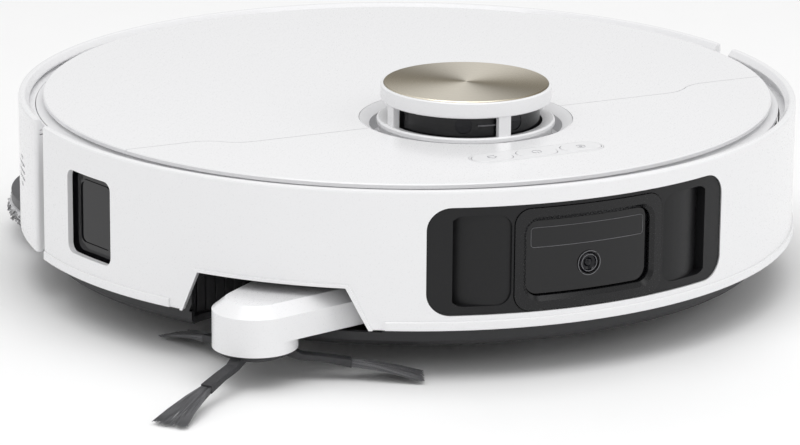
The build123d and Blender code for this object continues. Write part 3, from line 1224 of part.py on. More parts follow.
# ================================================================ driven wheels
for side, label in ((-1, "right"), (1, "left")):
    with BuildPart() as wheel_arm:
        with BuildSketch(Plane.YZ.offset(side * WHEEL_ARM_X - WHEEL_ARM_T / 2)):
            with Locations((WHEEL_PIVOT_Y, WHEEL_PIVOT_Z)):
                Circle(8)
            with Locations((WHEEL_Y, WHEEL_R)):
                Circle(15)
            make_hull()
        extrude(amount=WHEEL_ARM_T)
        with BuildSketch(Plane.YZ.offset(side * WHEEL_ARM_X)):
            with Locations((WHEEL_Y, WHEEL_R)):
                Circle(WHEEL_AXLE_R)
        extrude(amount=side * (WHEEL_X + WHEEL_W / 2 - WHEEL_ARM_X))
        with BuildSketch(Plane.YZ.offset(side * WHEEL_ARM_X - WHEEL_PIN_HALF)):
            with Locations((WHEEL_PIVOT_Y, WHEEL_PIVOT_Z)):
                Circle(WHEEL_PIN_R)
        extrude(amount=2 * WHEEL_PIN_HALF)
        # geared motor on the inner side
        with BuildSketch(Plane.YZ.offset(side * (WHEEL_ARM_X - WHEEL_ARM_T / 2 + 0.5))):
            with Locations((WHEEL_Y + 2, WHEEL_R + 12)):
                Circle(12)
        extrude(amount=-side * 8.5)
    save(wheel_arm, label + "_wheel_arm")

    with BuildPart() as wheel_rim:
        with BuildSketch(Plane.XZ.offset(-WHEEL_Y)):
            inner_x = WHEEL_X - WHEEL_W / 2
            outer_x = WHEEL_X + WHEEL_W / 2
            Polygon(
                (side * inner_x, WHEEL_R + WHEEL_AXLE_R + RUN_GAP),
                (side * outer_x, WHEEL_R + WHEEL_AXLE_R + RUN_GAP),
                (side * outer_x, WHEEL_R + 9),
                (side * (outer_x - 4), WHEEL_R + 11),
                (side * (outer_x - 4), WHEEL_R + WHEEL_RIM_R - 3),
                (side * outer_x, WHEEL_R + WHEEL_RIM_R - 2),
                (side * outer_x, WHEEL_R + WHEEL_RIM_R),
                (side * inner_x, WHEEL_R + WHEEL_RIM_R),
                align=None,
            )
        revolve(axis=Axis((0, WHEEL_Y, WHEEL_R), (1, 0, 0)))
    save(wheel_rim, label + "_wheel_rim")

    with BuildPart() as tyre:
        with BuildSketch(Plane.YZ.offset(side * WHEEL_X - WHEEL_W / 2)):
            with Locations((WHEEL_Y, WHEEL_R)):
                Circle(WHEEL_R)
                with PolarLocations(WHEEL_R, TYRE_LUGS, start_angle=90 + 180 / TYRE_LUGS):
                    Rectangle(3.0, 3.4, mode=Mode.SUBTRACT)
                Circle(WHEEL_RIM_R + RUN_GAP, mode=Mode.SUBTRACT)
        extrude(amount=WHEEL_W)
    save(tyre, label + "_tyre")

# ================================================================ caster
with BuildPart() as caster_fork:
    with BuildSketch(Plane.XZ.offset(-CASTER_Y)):
        Polygon(
            (0, 9), (11, 9), (16, 10.5), (CASTER_R - 0.6, 14), (CASTER_R - 0.6, 26.5),
            (CASTER_R - 6, 28), (CASTER_PIN_R, 28), (CASTER_PIN_R, 35.5), (0, 35.5),
            align=None,
        )
    revolve(axis=Axis((0, CASTER_Y, 0), (0, 0, 1)))
    wheel_y = CASTER_Y + CASTER_TRAIL
    with BuildSketch(Plane.YZ.offset(-CASTER_WHEEL_W / 2 - MOVE_GAP)):
        with Locations((wheel_y, CASTER_WHEEL_R)):
            Circle(CASTER_WHEEL_R + MOVE_GAP)
    extrude(amount=CASTER_WHEEL_W + 2 * MOVE_GAP, mode=Mode.SUBTRACT)
    with BuildSketch(Plane.YZ.offset(-CASTER_WHEEL_W / 2 - 2.2)):
        with Locations((wheel_y, CASTER_WHEEL_R)):
            Circle(CASTER_AXLE_R)
    extrude(amount=CASTER_WHEEL_W + 4.4)
save(caster_fork, "caster_fork")

with BuildPart() as caster_wheel:
    with BuildSketch(Plane.XZ.offset(-CASTER_Y - CASTER_TRAIL)):
        half = CASTER_WHEEL_W / 2
        Polygon(
            (-half, CASTER_WHEEL_R + CASTER_AXLE_R + RUN_GAP),
            (half, CASTER_WHEEL_R + CASTER_AXLE_R + RUN_GAP),
            (half, 2 * CASTER_WHEEL_R - 2.5), (half - 3, 2 * CASTER_WHEEL_R),
            (3 - half, 2 * CASTER_WHEEL_R), (-half, 2 * CASTER_WHEEL_R - 2.5),
            align=None,
        )
    revolve(axis=Axis((0, CASTER_Y + CASTER_TRAIL, CASTER_WHEEL_R), (1, 0, 0)))
save(caster_wheel, "caster_wheel")

# ================================================================ mops
for label, mop_x, mop_y in (("left", MOP_X, MOP_Y), ("right", MOP_OUT_X, MOP_OUT_Y)):
    with BuildPart() as gearbox:
        with BuildSketch(Plane.XY.offset(MOP_GEARBOX_LOW)):
            with Locations((mop_x, mop_y)):
                Circle(MOP_GEARBOX_R)
        extrude(amount=MOP_GEARBOX_TOP - MOP_GEARBOX_LOW)
        with BuildSketch(Plane.XY.offset(MOP_PLATE_TOP + 1.5)):
            with Locations((mop_x, mop_y)):
                Circle(MOP_NECK_R)
        extrude(amount=MOP_GEARBOX_LOW - MOP_PLATE_TOP)
        with Locations((mop_x, mop_y, MOP_GEARBOX_LOW)):
            Cylinder(MOP_SHAFT_R + RUN_GAP, 24, mode=Mode.SUBTRACT)
    save(gearbox, label + "_mop_gearbox")

    with BuildPart() as plate:
        with BuildSketch(Plane.XY.offset(MOP_PAD_TOP + 0.05)):
            with Locations((mop_x, mop_y)):
                Circle(MOP_PLATE_R)
        extrude(amount=MOP_PLATE_TOP - MOP_PAD_TOP - 0.05)
        # ribbed well inside the rim
        with BuildSketch(Plane.XY.offset(MOP_PAD_TOP + 2)):
            with Locations((mop_x, mop_y)):
                Circle(MOP_PLATE_R - 4)
                Circle(14, mode=Mode.SUBTRACT)
                with PolarLocations(40, 12):
                    Rectangle(60, 1.6, mode=Mode.SUBTRACT)
        extrude(amount=5, mode=Mode.SUBTRACT)
        with BuildSketch(Plane.XY.offset(MOP_PLATE_TOP - 0.1)):
            with Locations((mop_x, mop_y)):
                Circle(MOP_SHAFT_R)
        extrude(amount=MOP_GEARBOX_LOW + 11 - MOP_PLATE_TOP)
    save(plate, label + "_mop_plate")

    with BuildPart() as pad:
        with BuildSketch(Plane.XY.offset(MOP_LOW)):
            with Locations((mop_x, mop_y)):
                Circle(MOP_R)
        extrude(amount=MOP_PAD_TOP - MOP_LOW)
        chamfer(pad.faces().sort_by(Axis.Z)[0].edges(), 1.5)
    save(pad, label + "_mop_pad")

with BuildPart() as mop_arm:
    with BuildSketch(Plane.XY.offset(ARM_CARRIER_LOW)):
        with Locations((MOP_PIVOT_X, MOP_PIVOT_Y)):
            Circle(11)
        with Locations((MOP_OUT_X, MOP_OUT_Y)):
            Circle(MOP_GEARBOX_R + 3)
        make_hull()
        with Locations((MOP_OUT_X, MOP_OUT_Y)):
            Circle(MOP_GEARBOX_R + MOVE_GAP, mode=Mode.SUBTRACT)
        with Locations((MOP_PIVOT_X, MOP_PIVOT_Y)):
            Circle(MOP_PIN_R + RUN_GAP, mode=Mode.SUBTRACT)
    extrude(amount=ARM_CARRIER_TOP - ARM_CARRIER_LOW)
save(mop_arm, "mop_arm")

with BuildPart() as mop_swing_motor:
    with BuildSketch(Plane.XY.offset(MOP_CEILING + FLOOR_T + 0.1)):
        with Locations((MOP_PIVOT_X, MOP_PIVOT_Y)):
            Circle(MOP_PIN_R)
    extrude(amount=ARM_CARRIER_TOP - MOP_CEILING - FLOOR_T + 1)
    with BuildSketch(Plane.XY.offset(ARM_CARRIER_TOP + PART_GAP)):
        with Locations((MOP_PIVOT_X, MOP_PIVOT_Y)):
            Circle(9)
    extrude(amount=TANK_Z0 - PART_GAP - ARM_CARRIER_TOP - PART_GAP)
save(mop_swing_motor, "mop_swing_motor")

# ================================================================ dust box, fan, tank, battery, board
with BuildPart() as dust_box:
    with BuildSketch(Plane.XY.offset(DUST_Z0)):
        with Locations(((DUST_X0 + DUST_X1) / 2, (DUST_Y0 + DUST_Y1) / 2)):
            RectangleRounded(DUST_X1 - DUST_X0, DUST_Y1 - DUST_Y0, 5)
    extrude(amount=DUST_Z1 - DUST_Z0)
    with BuildSketch(Plane.XY.offset(DUST_Z0 + DUST_WALL)):
        with Locations(((DUST_X0 + DUST_X1) / 2, (DUST_Y0 + DUST_Y1) / 2)):
            RectangleRounded(DUST_X1 - DUST_X0 - 2 * DUST_WALL, DUST_Y1 - DUST_Y0 - 2 * DUST_WALL, 3)
    extrude(amount=DUST_Z1 - DUST_Z0 - 2 * DUST_WALL, mode=Mode.SUBTRACT)
    # inlet over the throat, outlet towards the fan, and the finger cup of the top
    with Locations((0, (THROAT_Y0 + THROAT_Y1) / 2, DUST_Z0)):
        Box(THROAT_W, THROAT_Y1 - THROAT_Y0, 3 * DUST_WALL, mode=Mode.SUBTRACT)
    with Locations((DUST_X1, FAN_SPOUT_Y, FAN_SPOUT_Z)):
        Box(3 * DUST_WALL, FAN_SPOUT_W, FAN_SPOUT_H, mode=Mode.SUBTRACT)
save(dust_box, "dust_box")

with BuildPart() as fan_housing:
    with BuildSketch(Plane.XY.offset(FAN_Z0)):
        with Locations((FAN_X, FAN_Y)):
            Circle(FAN_R)
        with Locations(((FAN_X + DUST_X1 + PART_GAP) / 2, FAN_SPOUT_Y)):
            Rectangle(FAN_X - DUST_X1 - PART_GAP, FAN_SPOUT_W + 2 * FAN_WALL)
    extrude(amount=FAN_Z1 - FAN_Z0)
    with BuildSketch(Plane.XY.offset(FAN_Z0 + FAN_WALL)):
        with Locations((FAN_X, FAN_Y)):
            Circle(FAN_R - FAN_WALL)
        with Locations(((FAN_X + DUST_X1) / 2 - 1, FAN_SPOUT_Y)):
            Rectangle(FAN_X - DUST_X1 + 2, FAN_SPOUT_W)
    extrude(amount=FAN_Z1 - FAN_Z0 - 2 * FAN_WALL, mode=Mode.SUBTRACT)
    # motor that stands on the housing's floor, with the bore of its shaft
    with BuildSketch(Plane.XY.offset(FAN_Z0 + FAN_WALL - 0.5)):
        with Locations((FAN_X, FAN_Y)):
            Circle(11)
            Circle(FAN_SHAFT_R + RUN_GAP, mode=Mode.SUBTRACT)
    extrude(amount=8.5)
    # exhaust towards the side wall
    with BuildSketch(wall_plane(FAN_ANGLE, hypot(FAN_X, FAN_Y) + FAN_R - 6, (FAN_Z0 + FAN_Z1) / 2)):
        Rectangle(24, FAN_Z1 - FAN_Z0 - 3 * FAN_WALL)
    extrude(amount=12, mode=Mode.SUBTRACT)
    # legs down to the tray
    with BuildSketch(Plane.XY.offset(MOP_CEILING + FLOOR_T + 0.1)):
        with Locations((FAN_X + 4, FAN_Y - 20), (FAN_X + 14, FAN_Y + 8)):
            Circle(3)
    extrude(amount=FAN_Z0 - MOP_CEILING - FLOOR_T)
save(fan_housing, "fan_housing")

with BuildPart() as fan_impeller:
    with BuildSketch(Plane.XY.offset(FAN_Z0 + FAN_WALL + 9)):
        with Locations((FAN_X, FAN_Y)):
            Circle(FAN_R - FAN_WALL - 3)
    extrude(amount=1.5)
    with BuildSketch(Plane.XY.offset(FAN_Z0 + FAN_WALL + 10)):
        with Locations((FAN_X, FAN_Y)):
            Circle(6)
            with PolarLocations(14, 9):
                Rectangle(17, 1.2, rotation=35)
    extrude(amount=10)
    with BuildSketch(Plane.XY.offset(FAN_Z0 + FAN_WALL + 0.5)):
        with Locations((FAN_X, FAN_Y)):
            Circle(FAN_SHAFT_R)
    extrude(amount=9)
save(fan_impeller, "fan_impeller")

with BuildPart() as water_tank:
    with BuildSketch(Plane.XY.offset(TANK_Z0)):
        add(tank_plans[0])
    extrude(amount=TANK_Z1 - TANK_Z0)
    with BuildSketch(Plane.XY.offset(TANK_Z0 + TANK_WALL)):
        add(tank_plans[2])
    extrude(amount=TANK_Z1 - TANK_Z0 - 2 * TANK_WALL, mode=Mode.SUBTRACT)
    with Locations((TANK_PORT_X, TANK_PORT_Y, TANK_Z1)):
        Cylinder(TANK_PORT_R, 3 * TANK_WALL, mode=Mode.SUBTRACT)
    # seats on the tray
    with BuildSketch(Plane.XY.offset(MOP_CEILING + FLOOR_T + 0.1)):
        with Locations((0, 142), (30, 132), (-60, 140)):
            Circle(4)
    extrude(amount=TANK_Z0 - MOP_CEILING - FLOOR_T)
save(water_tank, "water_tank")

with BuildPart() as battery_pack:
    with BuildSketch(Plane.XY.offset(BATTERY_Z0)):
        with Locations(((BATTERY_X0 + BATTERY_X1) / 2, (BATTERY_Y0 + BATTERY_Y1) / 2)):
            RectangleRounded(BATTERY_X1 - BATTERY_X0, BATTERY_Y1 - BATTERY_Y0, 4)
    extrude(amount=BATTERY_Z1 - BATTERY_Z0)
    fillet(battery_pack.faces().sort_by(Axis.Z)[-1].edges(), 2)
save(battery_pack, "battery_pack")

with BuildPart() as main_board:
    with BuildSketch(Plane.XY.offset(BOARD_Z)):
        with Locations((81, -80)):
            RectangleRounded(54, 56, 3)
    extrude(amount=BOARD_T - 0.05)
    with BuildSketch(Plane.XY.offset(BOARD_Z - 2.5)):
        for x, y, width, depth in ((70, -92, 16, 16), (94, -90, 12, 12), (72, -66, 20, 10), (96, -66, 8, 14)):
            with Locations((x, y)):
                Rectangle(width, depth)
    extrude(amount=2.6)
save(main_board, "main_board")

with BuildPart() as tray_screws:
    for x, y in SCREWS:
        with BuildSketch(Plane.XY.offset(UNDERSIDE - SCREW_HEAD_H)):
            with Locations((x, y)):
                Circle(SCREW_HEAD_R)
                RegularPolygon(1.6, 4, mode=Mode.SUBTRACT)
        extrude(amount=SCREW_HEAD_H - 0.02)
save(tray_screws, "tray_screws")
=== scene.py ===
"""Looks of the robot floor cleaner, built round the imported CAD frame."""
import json
import math
import random

import bmesh
import bpy
from mathutils import Matrix, Vector


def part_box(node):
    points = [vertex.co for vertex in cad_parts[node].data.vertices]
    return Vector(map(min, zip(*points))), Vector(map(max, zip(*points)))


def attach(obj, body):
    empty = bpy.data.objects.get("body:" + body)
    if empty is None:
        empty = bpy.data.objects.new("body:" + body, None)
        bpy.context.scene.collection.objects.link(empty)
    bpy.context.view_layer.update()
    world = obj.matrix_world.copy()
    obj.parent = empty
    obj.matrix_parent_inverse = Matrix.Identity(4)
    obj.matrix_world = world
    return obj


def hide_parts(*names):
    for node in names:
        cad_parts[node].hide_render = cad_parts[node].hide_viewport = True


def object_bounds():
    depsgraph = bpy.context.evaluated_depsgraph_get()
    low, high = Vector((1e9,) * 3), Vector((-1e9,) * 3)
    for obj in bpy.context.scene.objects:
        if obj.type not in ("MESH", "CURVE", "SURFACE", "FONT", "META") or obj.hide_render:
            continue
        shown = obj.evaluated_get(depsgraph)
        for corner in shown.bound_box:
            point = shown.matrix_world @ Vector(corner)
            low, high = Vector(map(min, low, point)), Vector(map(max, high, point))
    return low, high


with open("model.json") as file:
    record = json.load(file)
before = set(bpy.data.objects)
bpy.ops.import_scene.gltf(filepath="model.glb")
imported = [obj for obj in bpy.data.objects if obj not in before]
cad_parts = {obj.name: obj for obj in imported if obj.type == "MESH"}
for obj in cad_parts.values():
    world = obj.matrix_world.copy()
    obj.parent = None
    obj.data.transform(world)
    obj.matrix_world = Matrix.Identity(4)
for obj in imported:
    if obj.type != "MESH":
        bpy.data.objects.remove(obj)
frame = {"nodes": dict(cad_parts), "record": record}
CAD_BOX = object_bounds()
NODES = frame["nodes"]
RNG = random.Random(7)

# ---------------------------------------------------------------- places taken from the CAD
RIM_Z = 0.082
TURRET = Vector((0.0, -0.058, 0.0))
BOSS = Vector((-0.1325, -0.1265, 0.0))
BUTTON_Y = -0.124
BUTTON_X = (-0.0213, 0.0, 0.0213)
LEFT_MOP = Vector((0.073, 0.082, 0.0))
RIGHT_MOP = Vector((-0.080, 0.095, 0.0))
PAD_LOW, PAD_TOP = 0.0105, 0.0170
GLASS_R = 0.1715
LENS_Z = 0.0460
EMITTER_R, EMITTER_Z = 0.0327, 0.0864      # the slot beside the rotor's first lens


# ---------------------------------------------------------------- camera
def place_camera():
    """Long lens, low in front and to the left of the machine."""
    azimuth = math.radians(-26.4)
    elevation = math.radians(15.99)
    roll = Matrix.Rotation(math.radians(0.48), 4, "Z")
    distance = 1.8224
    aim_x, aim_below_rim = -0.00271, 0.0634
    turn = Matrix.Rotation(azimuth, 4, "Z")
    target = turn @ Vector((aim_x, 0.0, RIM_Z - aim_below_rim))
    back = turn @ Vector((0.0, -math.cos(elevation), math.sin(elevation)))
    data = bpy.data.cameras.new("camera")
    data.sensor_width = 36.0
    data.lens = 179.75
    data.clip_end = 50.0
    camera = bpy.data.objects.new("camera", data)
    bpy.context.scene.collection.objects.link(camera)
    aim = (-back).to_track_quat("-Z", "Y").to_matrix().to_4x4()
    camera.matrix_world = Matrix.Translation(target + back * distance) @ aim @ roll
    bpy.context.scene.camera = camera


# ---------------------------------------------------------------- material helpers
def new_material(name):
    material = bpy.data.materials.new(name)
    material.use_nodes = True
    tree = material.node_tree
    return material, tree, tree.nodes["Principled BSDF"]


def noise(tree, scale, detail=3.0, roughness=0.5):
    """Noise texture in object coordinates."""
    coords = tree.nodes.new("ShaderNodeTexCoord")
    texture = tree.nodes.new("ShaderNodeTexNoise")
    texture.inputs["Scale"].default_value = scale
    texture.inputs["Detail"].default_value = detail
    texture.inputs["Roughness"].default_value = roughness
    tree.links.new(coords.outputs["Object"], texture.inputs["Vector"])
    return texture


def operate(tree, kind, operation, *sources):
    """Math node of one kind and operation, fed by sockets or by plain values."""
    node = tree.nodes.new(kind)
    node.operation = operation
    for socket, source in zip(node.inputs, sources):
        if isinstance(source, bpy.types.NodeSocket):
            tree.links.new(source, socket)
        else:
            socket.default_value = source
    return node


def spread(tree, fac, low, high, target):
    """Drives a number or a colour between two values by a factor."""
    if isinstance(low, float):
        ramp = tree.nodes.new("ShaderNodeMapRange")
        ramp.inputs["From Min"].default_value = 0.3
        ramp.inputs["From Max"].default_value = 0.7
        ramp.inputs["To Min"].default_value = low
        ramp.inputs["To Max"].default_value = high
        tree.links.new(fac, ramp.inputs["Value"])
    else:
        ramp = tree.nodes.new("ShaderNodeMix")
        ramp.data_type = "RGBA"
        ramp.inputs["A"].default_value = (*low, 1)
        ramp.inputs["B"].default_value = (*high, 1)
        tree.links.new(fac, ramp.inputs["Factor"])
    tree.links.new(ramp.outputs["Result"], target)


def bump(tree, shader, height, strength, distance):
    node = tree.nodes.new("ShaderNodeBump")
    node.inputs["Strength"].default_value = strength
    node.inputs["Distance"].default_value = distance
    tree.links.new(height, node.inputs["Height"])
    tree.links.new(node.outputs["Normal"], shader.inputs["Normal"])


CLOUD_SCALE = 18.0        # slow variation of colour over a moulded piece


def moulded(name, colour, rough, grain=900.0, depth=0.00002, strength=0.25, coat=0.0, vary=0.04,
            metallic=0.0, gloss=0.5):
    """Moulded plastic, rubber or sheet metal with a fine grain and slight colour variation."""
    material, tree, shader = new_material(name)
    shader.inputs["Metallic"].default_value = metallic
    shader.inputs["Specular IOR Level"].default_value = gloss
    shader.inputs["Coat Weight"].default_value = coat
    shader.inputs["Coat Roughness"].default_value = 0.08
    wide = noise(tree, CLOUD_SCALE)
    fine = noise(tree, grain, 2.0)
    darker = tuple(c * (1 - vary) for c in colour)
    smoothest, roughest = max(rough - 0.04, 0.02), min(rough + 0.05, 1.0)
    spread(tree, wide.outputs["Fac"], darker, colour, shader.inputs["Base Color"])
    spread(tree, fine.outputs["Fac"], smoothest, roughest, shader.inputs["Roughness"])
    bump(tree, shader, fine.outputs["Fac"], strength, depth)
    return material


def spun_gold(name):
    """Spun champagne metal: bright and dark sectors painted into the base colour, painted
    highlight and painted shade standing in for the spun metal's reflection, with fine rings
    round the turret's axis.
    """
    # painted reflection: the bright sectors are painted highlight, the dark sectors painted
    # shade
    painted_shade, painted_glint = (0.24, 0.20, 0.13), (0.93, 0.86, 0.72)
    glint_sector_pairs = 2.0
    ring_scale = 4200.0
    material, tree, shader = new_material(name)
    shader.inputs["Metallic"].default_value = 1.0
    shader.inputs["Anisotropic"].default_value = 0.75
    coords = tree.nodes.new("ShaderNodeTexCoord")
    moved = operate(tree, "ShaderNodeVectorMath", "SUBTRACT",
                    coords.outputs["Object"], (TURRET.x, TURRET.y, 0))
    flat = tree.nodes.new("ShaderNodeSeparateXYZ")
    tree.links.new(moved.outputs[0], flat.inputs[0])
    angle = operate(tree, "ShaderNodeMath", "ARCTAN2", flat.outputs["Y"], flat.outputs["X"])
    turns = operate(tree, "ShaderNodeMath", "MULTIPLY", angle.outputs[0], glint_sector_pairs)
    wave = operate(tree, "ShaderNodeMath", "SINE", turns.outputs[0])
    glint_share = tree.nodes.new("ShaderNodeMapRange")
    glint_share.inputs["From Min"].default_value = -1.0
    tree.links.new(wave.outputs[0], glint_share.inputs["Value"])
    # painted highlight and painted shade in sectors round the turret's axis
    spread(tree, glint_share.outputs["Result"], painted_shade, painted_glint, shader.inputs["Base Color"])
    level = operate(tree, "ShaderNodeVectorMath", "MULTIPLY", moved.outputs[0], (1, 1, 0))
    radius = operate(tree, "ShaderNodeVectorMath", "LENGTH", level.outputs[0])
    rings = tree.nodes.new("ShaderNodeTexNoise")
    rings.noise_dimensions = "1D"
    rings.inputs["Scale"].default_value = ring_scale
    tree.links.new(radius.outputs["Value"], rings.inputs["W"])
    spread(tree, rings.outputs["Fac"], 0.24, 0.38, shader.inputs["Roughness"])
    bump(tree, shader, rings.outputs["Fac"], 0.25, 0.00002)
    return material


def fabric(name, colour, painted_shade):
    """Looped microfibre; the same noise darkens the colour where it lowers the bump, painted
    shade in the hollows of the pile.
    """
    material, tree, shader = new_material(name)
    shader.inputs["Roughness"].default_value = 0.95
    shader.inputs["Sheen Weight"].default_value = 0.5
    shader.inputs["Sheen Roughness"].default_value = 0.5
    loops = noise(tree, 420.0, 4.0, 0.7)
    # painted shade: the colour falls to the shade colour where the bump is lowest, in the pile's
    # hollows
    spread(tree, loops.outputs["Fac"], painted_shade, colour, shader.inputs["Base Color"])
    bump(tree, shader, loops.outputs["Fac"], 0.8, 0.0006)
    return material


def glassy(name, colour, rough, coat=1.0, ior=1.5):
    """Glossy window, lens or smoked plastic."""
    material, tree, shader = new_material(name)
    shader.inputs["Coat Weight"].default_value = coat
    shader.inputs["Coat Roughness"].default_value = 0.03
    shader.inputs["IOR"].default_value = ior
    fine = noise(tree, 60.0)
    darker = tuple(c * 0.8 for c in colour)
    spread(tree, fine.outputs["Fac"], darker, colour, shader.inputs["Base Color"])
    spread(tree, fine.outputs["Fac"], rough, rough + 0.02, shader.inputs["Roughness"])
    return material


# ---------------------------------------------------------------- materials
MOULDED = {
    "white_shell": dict(colour=(0.87, 0.87, 0.88), rough=0.30, grain=1600.0, depth=0.000004,
                        strength=0.03, coat=0.35, vary=0.008),
    "white_deck": dict(colour=(0.80, 0.80, 0.81), rough=0.42, grain=1600.0, depth=0.000006,
                       strength=0.05, vary=0.01),
    "button_white": dict(colour=(0.80, 0.80, 0.81), rough=0.34, grain=1600.0, depth=0.000004,
                         strength=0.03, vary=0.008),
    "dark_tray": dict(colour=(0.030, 0.030, 0.032), rough=0.55, grain=1400.0, depth=0.00005,
                      strength=0.4, vary=0.15),
    "bezel_black": dict(colour=(0.009, 0.009, 0.010), rough=0.46, grain=1800.0, depth=0.00006,
                        strength=0.5, vary=0.15, gloss=0.32),
    "frame_black": dict(colour=(0.006, 0.006, 0.007), rough=0.26, grain=1200.0, depth=0.000004,
                        strength=0.05, vary=0.1, gloss=0.35),
    "rotor_black": dict(colour=(0.005, 0.005, 0.006), rough=0.22, grain=900.0, depth=0.00001,
                        strength=0.1, vary=0.1, gloss=0.4),
    "inner_grey": dict(colour=(0.28, 0.29, 0.31), rough=0.5, grain=900.0, depth=0.00003,
                       strength=0.3),
    "motor_steel": dict(colour=(0.52, 0.52, 0.54), rough=0.35, grain=300.0, depth=0.00002,
                        strength=0.3, metallic=1.0),
    "gear_nylon": dict(colour=(0.80, 0.78, 0.70), rough=0.45),
    "roller_core": dict(colour=(0.10, 0.10, 0.11), rough=0.5),
    "roller_rubber": dict(colour=(0.13, 0.13, 0.14), rough=0.65, grain=1100.0, depth=0.00005,
                          strength=0.4, vary=0.1),
    "tyre_rubber": dict(colour=(0.028, 0.028, 0.028), rough=0.75, grain=1100.0, depth=0.00006,
                        strength=0.5, vary=0.15),
    "hub_grey": dict(colour=(0.15, 0.15, 0.16), rough=0.45),
    "brush_rubber": dict(colour=(0.030, 0.030, 0.033), rough=0.6, grain=1100.0, depth=0.00004,
                         strength=0.4, vary=0.1),
    "bristle": dict(colour=(0.19, 0.19, 0.20), rough=0.35, grain=900.0, vary=0.35),
    "plate_grey": dict(colour=(0.075, 0.075, 0.080), rough=0.45, vary=0.08),
    "battery_blue": dict(colour=(0.05, 0.11, 0.30), rough=0.3, coat=0.4, vary=0.1),
    "board_green": dict(colour=(0.015, 0.13, 0.05), rough=0.35, grain=1500.0, vary=0.2),
    "contact_metal": dict(colour=(0.80, 0.74, 0.60), rough=0.25, metallic=1.0),
    "screw_steel": dict(colour=(0.55, 0.55, 0.57), rough=0.32, metallic=1.0),
}
GLASSY = {
    "window_black": dict(colour=(0.003, 0.003, 0.004), rough=0.06, coat=0.1, ior=1.42),
    "lens_glass": dict(colour=(0.003, 0.003, 0.006), rough=0.04, coat=0.1, ior=1.35),
    "sensor_dark": dict(colour=(0.020, 0.008, 0.014), rough=0.10),
    "dust_smoke": dict(colour=(0.09, 0.09, 0.10), rough=0.16),
    "tank_smoke": dict(colour=(0.20, 0.23, 0.26), rough=0.14),
}
MATERIALS = {slot: moulded(slot, **look) for slot, look in MOULDED.items()}
MATERIALS.update({slot: glassy(slot, **look) for slot, look in GLASSY.items()})
MATERIALS["gold_metal"] = spun_gold("gold_metal")
# the second colour is the painted shade in the pile's hollows
MATERIALS["mop_fabric"] = fabric("mop_fabric", (0.78, 0.78, 0.79), (0.44, 0.44, 0.46))

for part in frame["record"]["subparts"]:
    node = NODES[part["node"]]
    node.data.materials.clear()
    node.data.materials.append(MATERIALS[part["material_slot"]])
    edges = node.modifiers.new("soft_edges", "WEIGHTED_NORMAL")
    edges.keep_sharp = True


# ---------------------------------------------------------------- helpers for new pieces
def add_piece(name, mesh, material, body):
    piece = bpy.data.objects.new(name, mesh)
    bpy.context.scene.collection.objects.link(piece)
    mesh.materials.append(material)
    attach(piece, body)
    return piece


def smooth_mesh(name, build):
    """Mesh made from a bmesh, smooth shaded."""
    mesh = bpy.data.meshes.new(name)
    for face in build.faces:
        face.smooth = True
    build.to_mesh(mesh)
    build.free()
    return mesh


def tubes(name, paths, radii, sides=5):
    """One mesh of tapered tubes, each along its own list of points."""
    build = bmesh.new()
    for points, widths in zip(paths, radii):
        rings = []
        for index, point in enumerate(points):
            ahead = points[min(index + 1, len(points) - 1)] - points[max(index - 1, 0)]
            ahead.normalize()
            across = ahead.orthogonal().normalized()
            other = ahead.cross(across)
            ring = []
            for side in range(sides):
                angle = 2 * math.pi * side / sides
                offset = (across * math.cos(angle) + other * math.sin(angle)) * widths[index]
                ring.append(build.verts.new(point + offset))
            rings.append(ring)
        for low, high in zip(rings, rings[1:]):
            for side in range(sides):
                after = (side + 1) % sides
                build.faces.new((low[side], low[after], high[after], high[side]))
        build.faces.new(list(reversed(rings[0])))
        build.faces.new(rings[-1])
    return smooth_mesh(name, build)


def even_tube(name, path, radius, sides=6):
    """One tube of the same thickness all along its path."""
    return tubes(name, [path], [[radius] * len(path)], sides=sides)


# ---------------------------------------------------------------- mop pads
PAD_REACH = 0.0719        # no loop of the pad's edge stands out further
PAD_STEPS = 192
EDGE_ROWS = range(3, 7)   # rows of the section that make the rolled edge
FRINGE_ROOT = 0.0688
FRINGE_ROWS = ((0.0118, 150), (0.0134, 165), (0.0150, 150))     # height and loops round the pad


def pad_mesh(name, centre):
    """Crowned closed pad with a soft rolled edge."""
    build = bmesh.new()
    section = (
        (0.0, PAD_LOW + 0.0004), (0.030, PAD_LOW + 0.0004), (0.055, PAD_LOW + 0.0003),
        (0.066, PAD_LOW + 0.0006), (0.0700, PAD_LOW + 0.0016), (0.0716, PAD_LOW + 0.0033),
        (0.0708, PAD_LOW + 0.0051), (0.0690, PAD_TOP - 0.0003), (0.050, PAD_TOP - 0.0003),
        (0.0, PAD_TOP - 0.0003),
    )
    rings = []
    for row, (radius, height) in enumerate(section):
        if radius == 0.0:
            rings.append([build.verts.new((centre.x, centre.y, height))])
            continue
        ring = []
        for step in range(PAD_STEPS):
            angle = 2 * math.pi * step / PAD_STEPS
            wave = 0.0
            if row in EDGE_ROWS:
                wave = 0.0004 * math.sin(angle * 37 + row) + RNG.uniform(-0.00025, 0.00025)
            reach = min(radius + wave, PAD_REACH)
            ring.append(build.verts.new((
                centre.x + reach * math.cos(angle), centre.y + reach * math.sin(angle), height,
            )))
        rings.append(ring)
    for low, high in zip(rings, rings[1:]):
        for step in range(PAD_STEPS):
            after = (step + 1) % PAD_STEPS
            if len(low) == 1:
                build.faces.new((low[0], high[after], high[step]))
            elif len(high) == 1:
                build.faces.new((low[step], low[after], high[0]))
            else:
                build.faces.new((low[step], low[after], high[after], high[step]))
    bmesh.ops.recalc_face_normals(build, faces=build.faces)
    return smooth_mesh(name, build)


